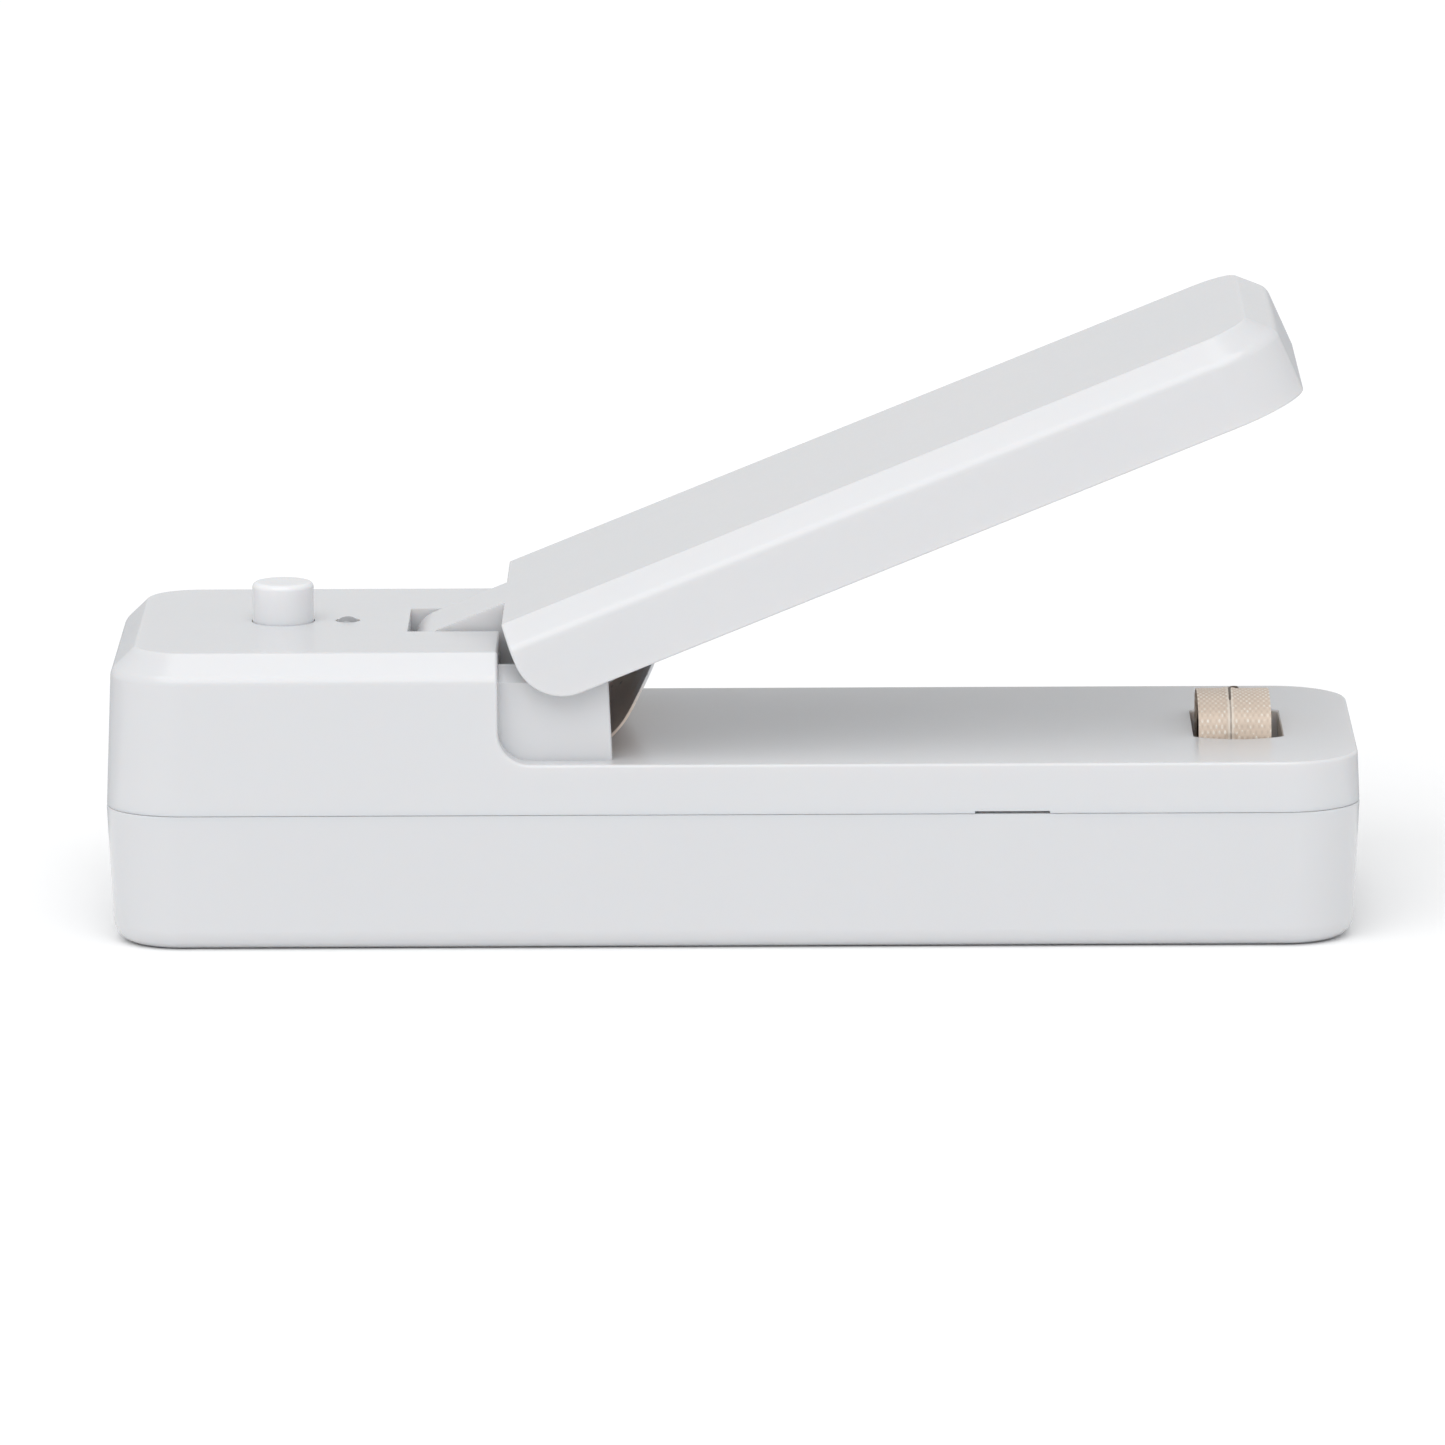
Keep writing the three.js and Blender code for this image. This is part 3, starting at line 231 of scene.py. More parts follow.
class SealerStage(bpy.types.PropertyGroup):
    """Where the camera stands and how the stage is lit."""

    distance: length("Distance", "From the camera to the point it looks at", 1605.3)
    elevation: angle("Elevation", "Angle of the camera above the table", 10.567)
    azimuth: angle("Azimuth", "Turn of the camera round the object", -0.388)
    roll: angle("Roll", "Turn of the camera about its own axis", -0.306)
    aim_x: length("Aim along", "Point looked at, along the case", -1.39)
    aim_z: length("Aim height", "Point looked at, above the table", 24.16)
    lens: number("Lens", "Focal length in millimetres on a 36 mm sensor", 313.87)
    sky: number("Sky", "Strength of the even light all round", 0.69)
    key: number("Key", "Strength of the soft light from one side", 1.62)
    key_height: angle("Key height", "Angle of that light above the table", 58)
    key_turn: angle("Key turn", "Turn of that light round the object", -12)
    key_spread: angle("Key spread", "How wide that light looks", 60)


GROUPS = {
    "sealer_case": SealerCase,
    "sealer_lever": SealerLever,
    "sealer_heater": SealerHeater,
    "sealer_controls": SealerControls,
    "sealer_colours": SealerColours,
    "sealer_stage": SealerStage,
}


def group(name):
    """One of the scene's property groups."""
    return getattr(bpy.context.scene, "sealer_" + name)


# ---- Places worked out from the sizes ---------------------------------------------------


def block_face():
    """Where the raised block ends."""
    return group("case").block_length - HALF_LENGTH


def upper_inset(z):
    """How far the draft sets the upper walls in at a height."""
    return (z - PARTING) * math.tan(group("case").upper_draft)


def pocket_half():
    """Half the length of the heater pocket across the case."""
    return group("heater").pocket_length / 2


def heater_x():
    """The middle of the heater along the case."""
    return (BLOCK_LOW.x + BLOCK_HIGH.x) / 2


def slot_half():
    """Half the width of the hinge slot."""
    return group("lever").tongue / 2 + group("lever").slot_gap


def knuckle():
    """Radius of the round end of the lever's arm."""
    return BLOCK_TOP - HINGE.z


# ---- Mesh tools ------------------------------------------------------------------------

SELECT_MODES = {
    "VERT": (True, False, False),
    "EDGE": (False, True, False),
    "FACE": (False, False, True),
}


def clear_selection():
    """Leaves edit mode and deselects every object."""
    if bpy.context.mode != "OBJECT":
        bpy.ops.object.mode_set(mode="OBJECT")
    bpy.ops.object.select_all(action="DESELECT")


def activate(obj):
    """Makes one object the only selected and the active one."""
    clear_selection()
    obj.select_set(True)
    bpy.context.view_layer.objects.active = obj


def choose(obj, kind, test):
    """Enters edit mode with only the parts of a mesh selected that pass a test.

    The test gets the corner positions of a vertex, edge or face."""
    activate(obj)
    mesh = obj.data
    spots = [vertex.co.copy() for vertex in mesh.vertices]
    for items in (mesh.vertices, mesh.edges, mesh.polygons):
        items.foreach_set("select", [False] * len(items))
    bpy.context.tool_settings.mesh_select_mode = SELECT_MODES[kind]
    if kind == "VERT":
        for vertex in mesh.vertices:
            vertex.select = test([spots[vertex.index]])
    elif kind == "EDGE":
        for edge in mesh.edges:
            edge.select = test([spots[index] for index in edge.vertices])
    else:
        for face in mesh.polygons:
            face.select = test([spots[index] for index in face.vertices])
    bpy.ops.object.mode_set(mode="EDIT")


def everything(obj):
    """Enters edit mode with the whole mesh selected."""
    choose(obj, "VERT", lambda spots: True)


def leave():
    """Goes back to object mode."""
    bpy.ops.object.mode_set(mode="OBJECT")


def at(value, target, tolerance=0.02 * MM):
    """Whether a value is at a target."""
    return abs(value - target) < tolerance


def level(height, tolerance=0.02 * MM):
    """A test for parts that lie at one height."""
    return lambda spots: all(at(spot.z, height, tolerance) for spot in spots)


def upright(spots):
    """Whether an edge stands upright."""
    return at(spots[0].x, spots[1].x) and at(spots[0].y, spots[1].y)


def bevel(obj, test, offset, segments=3):
    """Rounds the edges that pass a test."""
    choose(obj, "EDGE", test)
    bpy.ops.mesh.bevel(offset_type="OFFSET", offset=offset, segments=segments,
                       profile=0.5, affect="EDGES", clamp_overlap=False)
    leave()


def tidy_mesh(obj, distance=0.004 * MM):
    """Merges doubles and turns every face outwards."""
    everything(obj)
    bpy.ops.mesh.remove_doubles(threshold=distance)
    bpy.ops.mesh.normals_make_consistent(inside=False)
    leave()


def apply_place(obj):
    """Puts an object's place, turn and size into its mesh."""
    activate(obj)
    bpy.ops.object.transform_apply(location=True, rotation=True, scale=True)
    return obj


def block(name, low, high):
    """A box between two corners."""
    clear_selection()
    low, high = Vector(low), Vector(high)
    bpy.ops.mesh.primitive_cube_add(size=1, location=(low + high) / 2)
    obj = bpy.context.object
    obj.name = name
    obj.scale = high - low
    return apply_place(obj)


def rod(name, radius, start, end, vertices=48):
    """A round bar between two points on one axis."""
    clear_selection()
    start, end = Vector(start), Vector(end)
    turn = (end - start).to_track_quat("Z", "Y").to_euler()
    bpy.ops.mesh.primitive_cylinder_add(
        vertices=vertices, radius=radius, depth=(end - start).length,
        location=(start + end) / 2, rotation=turn)
    obj = bpy.context.object
    obj.name = name
    return apply_place(obj)


def prism(name, inset_low, inset_high, bottom, top, segments=14):
    """An upright solid with the case's plan, set in at its bottom and its top."""
    clear_selection()
    bpy.ops.mesh.primitive_plane_add(size=2, location=(0, 0, bottom))
    obj = bpy.context.object
    obj.name = name
    obj.scale = (HALF_LENGTH - inset_low, HALF_WIDTH - inset_low, 1)
    apply_place(obj)
    everything(obj)
    bpy.ops.mesh.bevel(offset_type="OFFSET", offset=group("case").corner - inset_low,
                       segments=segments, profile=0.5, affect="VERTICES")
    bpy.ops.mesh.select_all(action="SELECT")
    bpy.ops.mesh.extrude_region_move(
        TRANSFORM_OT_translate={"value": (0, 0, top - bottom)})
    leave()
    choose(obj, "VERT", lambda spots: at(spots[0].z, top))
    shrink = inset_high - inset_low
    bpy.ops.transform.resize(
        value=((HALF_LENGTH - inset_low - shrink) / (HALF_LENGTH - inset_low),
               (HALF_WIDTH - inset_low - shrink) / (HALF_WIDTH - inset_low), 1),
        center_override=(0, 0, top))
    leave()
    tidy_mesh(obj)
    return obj


def thread_line(name, points):
    """A chain of edges through points."""
    clear_selection()
    bpy.ops.mesh.primitive_plane_add(size=MM, location=points[0])
    obj = apply_place(bpy.context.object)
    obj.name = name
    everything(obj)
    bpy.ops.mesh.merge(type="CENTER")
    for before, after in zip(points, points[1:]):
        bpy.ops.mesh.extrude_vertices_move(
            TRANSFORM_OT_translate={"value": Vector(after) - Vector(before)})
    leave()
    return obj


def tube(name, points, radius):
    """A round wire through points."""
    obj = thread_line(name, points)
    activate(obj)
    bpy.ops.object.convert(target="CURVE")
    obj = bpy.context.object
    obj.data.bevel_depth = radius
    obj.data.bevel_resolution = 5
    obj.data.use_fill_caps = True
    bpy.ops.object.convert(target="MESH")
    obj = bpy.context.object
    tidy_mesh(obj)
    return obj


def spun(name, profile, x, y, steps=64):
    """A turned body from points of (radius, height), about an upright axis."""
    obj = thread_line(name, [Vector((x + radius, y, z)) for radius, z in profile])
    everything(obj)
    bpy.ops.mesh.spin(steps=steps, angle=2 * math.pi, center=(x, y, 0), axis=(0, 0, 1))
    leave()
    tidy_mesh(obj)
    return obj


def bevel_border(obj, test, offset):
    """Rounds the outline of the faces that pass a test."""
    mesh = obj.data
    counts = {}
    for face in mesh.polygons:
        if test(face):
            for key in face.edge_keys:
                counts[key] = counts.get(key, 0) + 1
    border = {frozenset(tuple(mesh.vertices[index].co) for index in key)
              for key, count in counts.items() if count == 1}
    bevel(obj, lambda spots: frozenset(tuple(spot) for spot in spots) in border, offset)
    tidy_mesh(obj)


def modify(obj, kind, **settings):
    """Adds a modifier with its settings and applies it."""
    activate(obj)
    bpy.ops.object.modifier_add(type=kind)
    modifier = obj.modifiers[-1]
    for key, value in settings.items():
        setattr(modifier, key, value)
    bpy.ops.object.modifier_apply(modifier=modifier.name)


def boolean(obj, tool, operation):
    """Joins a tool to an object or cuts it away, and removes the tool."""
    modify(obj, "BOOLEAN", operation=operation, solver="EXACT", object=tool)
    bpy.data.objects.remove(tool)
    return obj


def cut(obj, tools):
    """Cuts each tool away from an object."""
    for tool in tools:
        boolean(obj, tool, "DIFFERENCE")
    return obj


def join(obj, tools):
    """Joins each tool to an object."""
    for tool in tools:
        boolean(obj, tool, "UNION")
    return obj


def merge(parts, name):
    """Puts loose parts into one object."""
    clear_selection()
    for part in parts:
        part.select_set(True)
    bpy.context.view_layer.objects.active = parts[0]
    bpy.ops.object.join()
    parts[0].name = name
    return parts[0]


def smooth(obj, degrees=32):
    """Smooth shading that follows the large flat faces."""
    activate(obj)
    bpy.ops.object.shade_smooth_by_angle(angle=math.radians(degrees))
    modify(obj, "WEIGHTED_NORMAL", keep_sharp=True)
    return obj


def shift(obj, step):
    """Moves a mesh by a step."""
    everything(obj)
    bpy.ops.transform.translate(value=step)
    leave()
    return obj


def open_lever(obj):
    """Turns a piece drawn on the closed lever to where it stands open."""
    everything(obj)
    bpy.ops.transform.rotate(value=OPEN_ANGLE, orient_axis="Y", center_override=HINGE)
    leave()
    return obj


def hand_over(obj, body, slot, nodes, material=None):
    """Gives a finished piece its finish, its body and the nodes it stands for."""
    obj.data.materials.clear()
    obj.data.materials.append(material or finish_of(slot))
    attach(obj, body)
    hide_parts(*nodes)
    return obj


# ---- Shader tools ----------------------------------------------------------------------


class Value:
    """A socket of a node tree whose arithmetic adds Math nodes."""

    def __init__(self, tree, socket):
        self.tree = tree
        self.socket = socket

    def _math(self, operation, first, second):
        return self.tree.node("ShaderNodeMath", {"operation": operation}, {0: first, 1: second})

    def __add__(self, other):
        return self._math("ADD", self, other)

    def __radd__(self, other):
        return self._math("ADD", other, self)

    def __sub__(self, other):
        return self._math("SUBTRACT", self, other)

    def __rsub__(self, other):
        return self._math("SUBTRACT", other, self)

    def __mul__(self, other):
        return self._math("MULTIPLY", self, other)

    def __truediv__(self, other):
        return self._math("DIVIDE", self, other)


class Finish:
    """A material and the nodes that make its look."""

    def __init__(self, name, **constants):
        self.material = bpy.data.materials.new(name)
        self.material.use_nodes = True
        self.nodes = self.material.node_tree.nodes
        self.links = self.material.node_tree.links
        self.shader = self.nodes["Principled BSDF"]
        for socket, value in constants.items():
            self.shader.inputs[socket.replace("_", " ")].default_value = value

    def node(self, kind, settings=None, inputs=None, output=0):
        """Adds a node with its settings and its inputs' values or links."""
        made = self.nodes.new(kind)
        for key, value in (settings or {}).items():
            setattr(made, key, value)
        for key, value in (inputs or {}).items():
            if isinstance(value, Value):
                self.links.new(value.socket, made.inputs[key])
            else:
                made.inputs[key].default_value = value
        return Value(self, made.outputs[output])

    def place(self):
        """Object coordinates."""
        return self.node("ShaderNodeTexCoord", output="Object")

    def surface(self):
        """The piece's own UV map."""
        return self.node("ShaderNodeTexCoord", output="UV")

    def part(self, vector, axis):
        """One coordinate of a vector."""
        return self.node("ShaderNodeSeparateXYZ", {}, {0: vector}, axis)

    def drawn(self, stretch):
        """Object coordinates stretched along the axes."""
        return self.node("ShaderNodeMapping", {}, {"Vector": self.place(), "Scale": stretch})

    def fade(self, value, low, high, start=0.0, stop=1.0, curve="LINEAR"):
        """A value brought from the span low to high into the span start to stop."""
        return self.node("ShaderNodeMapRange", {"interpolation_type": curve}, {
            "Value": value, "From Min": low, "From Max": high,
            "To Min": start, "To Max": stop})

    def soft(self, value, low, high, start=0.0, stop=1.0):
        """The same with gentle ends."""
        return self.fade(value, low, high, start, stop, "SMOOTHSTEP")

    def noise(self, scale, detail=3.0, roughness=0.5, vector=None):
        """Soft random variation."""
        return self.node("ShaderNodeTexNoise", {}, {
            "Vector": vector or self.place(), "Scale": scale, "Detail": detail,
            "Roughness": roughness}, "Fac")

    def blend(self, factor, first, second):
        """A mix of two colours."""
        made = self.nodes.new("ShaderNodeMix")
        made.data_type = "RGBA"
        for index, value in ((0, factor), (6, first), (7, second)):
            if isinstance(value, Value):
                self.links.new(value.socket, made.inputs[index])
            else:
                made.inputs[index].default_value = value
        return Value(self, made.outputs[2])

    def bump(self, height, distance, strength=1.0, normal=None):
        """A bump from a height, in metres."""
        inputs = {"Height": height, "Distance": distance, "Strength": strength}
        if normal is not None:
            inputs["Normal"] = normal
        return self.node("ShaderNodeBump", {}, inputs)

    def set(self, **sockets):
        """Links values to the shader's own sockets."""
        for socket, value in sockets.items():
            self.links.new(value.socket, self.shader.inputs[socket.replace("_", " ")])
        return self.material


def rgba(shade, scale=1.0):
    """A colour with full alpha, made lighter or darker."""
    return tuple(min(1.0, part * scale) for part in shade) + (1.0,)


def shell_plastic(name="shell_plastic", lift=1.0):
    """Glossy white moulded plastic with a faint orange-peel and flow waviness; a lift above one makes a paler copy
    with painted light.
    """
    shade = [part * lift for part in group("colours").shell]
    paint = Finish(name, IOR=1.49, Subsurface_Weight=0.35, Subsurface_Scale=0.0025,
                   Subsurface_Radius=(1.0, 0.75, 0.6))
    cloud = paint.noise(28.0, 4.0)
    grain = paint.noise(2600.0, 2.0)
    peel = paint.noise(420.0, 2.0)
    wave = paint.noise(22.0, 1.0)
    ripple = paint.bump(peel, 0.006 * MM, 0.6, paint.bump(grain, 0.0012 * MM, 0.5))
    return paint.set(
        Base_Color=paint.blend(cloud, rgba(shade, 0.985), rgba(shade, 1.012)),
        Roughness=0.15 + cloud * 0.05 + grain * 0.04,
        Normal=paint.bump(wave, 0.05 * MM, 0.5, ripple))


def inner_plastic():
    """Plain moulded plastic with a fine eroded texture."""
    shade = tuple(group("colours").inner)
    paint = Finish("inner_plastic", IOR=1.49)
    cloud = paint.noise(40.0, 4.0)
    grain = paint.noise(1800.0, 3.0)
    return paint.set(
        Base_Color=paint.blend(cloud, rgba(shade, 0.95), rgba(shade, 1.05)),
        Roughness=0.42 + grain * 0.14,
        Normal=paint.bump(grain, 0.02 * MM, 0.7))


def black_plastic():
    """Dark moulded plastic."""
    paint = Finish("black_plastic", IOR=1.5)
    grain = paint.noise(2200.0, 3.0)
    return paint.set(
        Base_Color=paint.blend(grain, (0.018, 0.018, 0.02, 1), (0.04, 0.04, 0.043, 1)),
        Roughness=0.42 + grain * 0.2,
        Normal=paint.bump(grain, 0.01 * MM, 0.6))


def metal(name, shade, base, spread, stretch):
    """Metal with fine scratches drawn out along one axis and soft staining."""
    paint = Finish(name, Metallic=1.0)
    scratch = paint.noise(1.0, 5.0, 0.7, paint.drawn(stretch))
    stain = paint.noise(160.0, 4.0)
    tone = paint.blend(stain, rgba(shade, 0.82), rgba(shade, 1.1))
    return paint.set(
        Base_Color=paint.blend(scratch * 0.35, tone, rgba(shade, 0.55)),
        Roughness=base + scratch * spread + stain * 0.08,
        Normal=paint.bump(scratch, 0.006 * MM, 0.6))


def glass_tape():
    """Coated glass cloth: staggered raised threads, worn in places, and a dark seam."""
    heater = group("heater")
    ground = tuple(group("colours").tape)
    thread = tuple(group("colours").tape_thread)
    paint = Finish("glass_tape", IOR=1.38)
    flat = paint.surface()
    warp = paint.part(flat, "X")
    weft = paint.part(flat, "Y")
    cells = paint.node("ShaderNodeVectorMath", {"operation": "SCALE"}, {0: flat, "Scale": 1 / MM})
    drift = paint.noise(0.5, 2.0, 0.5, cells) - 0.5
    across = warp / heater.weave + drift * 0.16
    along = weft / heater.weave_long + drift * 0.16

    def wave(value):
        return paint.node("ShaderNodeMath", {"operation": "SINE"}, {0: value * (2 * math.pi)})

    knots = wave(across) * wave(along)
    knob = paint.soft(knots, 0.16, 0.6)
    worn = paint.fade(paint.noise(0.55, 2.0, 0.6, cells), 0.36, 0.6, 0.35, 1.0)
    front = paint.soft(paint.part(paint.place(), "Y"), -5.5 * MM, -2.5 * MM, 1.0, 0.0)
    rubbed = paint.fade(paint.noise(0.95, 1.0, 0.5, cells), 0.42, 0.54)
    keep = worn * (1.0 - front * rubbed * 0.9)
    dip = paint.soft(knots, -0.9, -0.1, 1.0, 0.0)
    fibre = paint.noise(2400.0, 4.0)
    cloud = paint.noise(170.0, 4.0)
    base = paint.blend(cloud, rgba(ground, 0.86), rgba(ground, 1.08))
    shaded = paint.blend(dip * 0.3 + fibre * 0.12, base, rgba(ground, 0.62))
    dotted = paint.blend(knob * keep, shaded, rgba(thread))
    away = paint.node("ShaderNodeMath", {"operation": "ABSOLUTE"}, {0: warp - heater.seam})
    slit = paint.soft(away, 0.03 * MM, 0.15 * MM, 1.0, 0.0)
    cuff = paint.soft(away, 0.25 * MM, 0.5 * MM, 1.0, 0.0)
    cuffed = paint.blend(cuff * 0.5, dotted, rgba(thread))
    seamed = paint.blend(slit * (0.4 + cloud * 0.45), cuffed, (0.2, 0.14, 0.11, 1))
    height = knob * keep + fibre * 0.2 - slit * 1.6 + cuff * 0.8
    return paint.set(
        Base_Color=seamed,
        Roughness=0.5 - knob * 0.2 + fibre * 0.12,
        Normal=paint.bump(height, 0.05 * MM, 0.9))


def temper_steel():
    """Spring steel with drawn scratches, short dark strokes and a warm brown painted shade low down, where the
    strip lies deep between the cheeks.

    It is set almost without metal, which real steel isn't, to keep the shaded strip light."""
    shade = tuple(group("colours").strip)
    paint = Finish("spring_steel", Metallic=0.06)
    scratch = paint.noise(1.0, 5.0, 0.7, paint.drawn((2600, 120, 500)))
    marks = paint.noise(1.0, 3.0, 0.6, paint.drawn((900, 160, 420)))
    stroke = paint.fade(marks, 0.62, 0.7)
    cloud = paint.noise(210.0, 4.0)
    height = paint.part(paint.place(), "Z") + cloud * (5.0 * MM)
    # painted shade: the strip is tinted warm brown towards the bottom, where it sits deep in shade between the
    # cheeks
    painted_shade_low = paint.soft(height, 31.5 * MM, 36.5 * MM, 1.0, 0.0)
    tone = paint.blend(painted_shade_low * 0.85, rgba(shade), (0.66, 0.50, 0.39, 1))
    stroked = paint.blend(stroke * 0.75, tone, rgba(shade, 0.2))
    return paint.set(
        Base_Color=paint.blend(scratch * 0.3, stroked, rgba(shade, 0.7)),
        Roughness=0.3 + scratch * 0.16 + stroke * 0.2,
        Normal=paint.bump(scratch, 0.005 * MM, 0.6))


def ceramic():
    """Unglazed light brown ceramic with fine pores; its brown is partly the ceramic's own and partly painted warm
    shade, chosen to match the dark gaps round the heater.
    """
    paint = Finish("ceramic")
    pores = paint.noise(1400.0, 5.0)
    return paint.set(
        # painted shade: these browns are set dark and warm to carry the shade seen in the gaps round the heater
        Base_Color=paint.blend(pores, (0.42, 0.30, 0.21, 1), (0.52, 0.39, 0.285, 1)),
        Roughness=0.75 + pores * 0.15,
        Normal=paint.bump(pores, 0.02 * MM, 0.6))


def silicone():
    """Soft pale silicone with a dusty bloom."""
    paint = Finish("silicone", IOR=1.41)
    cloud = paint.noise(120.0, 4.0)
    grain = paint.noise(1500.0, 3.0)
    return paint.set(
        Base_Color=paint.blend(cloud, (0.50, 0.47, 0.43, 1), (0.60, 0.57, 0.53, 1)),
        Roughness=0.6 + grain * 0.2,
        Normal=paint.bump(grain, 0.015 * MM, 0.6))


def board_finish():
    """Green lacquered laminate with faint copper tracks under it."""
    paint = Finish("board", IOR=1.5)
    tracks = paint.node("ShaderNodeTexVoronoi", {"feature": "DISTANCE_TO_EDGE"}, {
        "Vector": paint.place(), "Scale": 260.0})
    lines = paint.fade(tracks, 0.04, 0.1)
    return paint.set(
        Base_Color=paint.blend(lines, (0.06, 0.22, 0.10, 1), (0.02, 0.10, 0.045, 1)),
        Roughness=0.3 + lines * 0.1,
        Normal=paint.bump(1.0 - lines, 0.03 * MM, 0.7))


def light_body():
    """Smoky clear epoxy with a darker core."""
    shade = tuple(group("colours").light)
    paint = Finish("light_body", IOR=1.55, Transmission_Weight=0.25)
    cloud = paint.noise(700.0, 2.0)
    return paint.set(
        Base_Color=paint.blend(cloud, rgba(shade, 0.8), rgba(shade, 1.3)),
        Roughness=0.06 + cloud * 0.05)


def sleeve(name, dark, pale):
    """Shrunk or extruded plastic skin with slight waviness."""
    paint = Finish(name, IOR=1.5)
    cloud = paint.noise(300.0, 3.0)
    return paint.set(
        Base_Color=paint.blend(cloud, (*dark, 1), (*pale, 1)),
        Roughness=0.3 + cloud * 0.15,
        Normal=paint.bump(cloud, 0.02 * MM, 0.5))


def make_finishes():
    """One material for each material slot of the record."""
    shades = group("colours")
    return {
        "white_plastic": shell_plastic(),
        "inner_plastic": inner_plastic(),
        "black_plastic": black_plastic(),
        "steel": metal("steel", tuple(shades.steel), 0.2, 0.14, (300, 300, 2600)),
        "spring_steel": temper_steel(),
        "brass": metal("brass", tuple(shades.brass), 0.24, 0.14, (1800, 300, 300)),
        "ceramic": ceramic(),
        "ribbon": metal("ribbon", (0.26, 0.215, 0.18), 0.42, 0.2, (2600, 160, 2600)),
        "glass_tape": glass_tape(),
        "silicone": silicone(),
        "board": board_finish(),
        "light": light_body(),
        "cell": sleeve("cell_sleeve", (0.02, 0.02, 0.023), (0.05, 0.05, 0.055)),
        "red_wire": sleeve("red_wire", (0.38, 0.02, 0.015), (0.5, 0.04, 0.03)),
        "black_wire": sleeve("black_wire", (0.012, 0.012, 0.014), (0.03, 0.03, 0.033)),
    }


FINISHES = {}


def finish_of(slot):
    """The material of a slot, made once."""
    if not FINISHES:
        FINISHES.update(make_finishes())
    return FINISHES[slot]


# ---- Case ------------------------------------------------------------------------------


def chamfered(obj, top, chamfer, crisp=0.0, soft=0.0):
    """Slopes the top rim of a solid, then rounds the two edges that the slope leaves."""
    bevel(obj, level(top), chamfer, 1)
    tidy_mesh(obj)
    if soft:
        shoulder = top - chamfer
        bevel(obj, level(shoulder, 0.15 * MM), soft, 5)
        bevel(obj, level(top), crisp, 3)
        tidy_mesh(obj)
    return obj


def chamfered_form(name, bottom):
    """The outer form that the block and the closed lever share."""
    case = group("case")
    form = prism(name, upper_inset(bottom), upper_inset(BLOCK_TOP), bottom, BLOCK_TOP)
    return chamfered(form, BLOCK_TOP, case.chamfer, case.crisp, case.soft)


def chamfered_hollow(name, bottom, side_wall, top_wall):
    """The hollow inside that form."""
    ceiling = BLOCK_TOP - top_wall
    slope = group("case").chamfer - top_wall / 3
    form = prism(name, upper_inset(bottom) + side_wall, upper_inset(ceiling) + side_wall,
                 bottom, ceiling, 10)
    return chamfered(form, ceiling, slope)


def tray_screws():
    """Where the cell tray's screws stand."""
    return [centre(f"tray_screw_{index}") for index in range(1, 5)]


def pair(name):
    """Where a pair of screws stands."""
    return [centre(f"{name}_{index}") for index in (1, 2)]


def cheek(hand):
    """One of the two upright cheeks that the lever's sides pass over."""
    lever = group("lever")
    case = group("case")
    top = BLOCK_TOP - lever.top_wall - 0.4 * MM
    outer = HALF_WIDTH - upper_inset(top) - lever.wall - lever.cheek_gap
    right = block_face() + lever.cheek_length
    low = (block_face() - MM, min(hand * outer, hand * (outer - lever.cheek_wall)), case.deck - MM)
    high = (right, max(hand * outer, hand * (outer - lever.cheek_wall)), top)
    obj = block("cheek", low, high)
    choose(obj, "VERT", lambda spots: at(spots[0].x, right) and spots[0].z < case.deck)
    bpy.ops.transform.translate(value=(0.55 * MM, 0, 0))
    leave()
    bevel(obj, lambda spots: all(at(spot.z, top) and at(spot.y, hand * outer) for spot in spots),
          lever.cheek_bevel, 1)
    bevel(obj, lambda spots: max(spot.x for spot in spots) > right - 0.1 * MM
          and min(spot.x for spot in spots) > block_face()
          and max(spot.z for spot in spots) > case.deck, 0.3 * MM, 3)
    tidy_mesh(obj)
    return obj


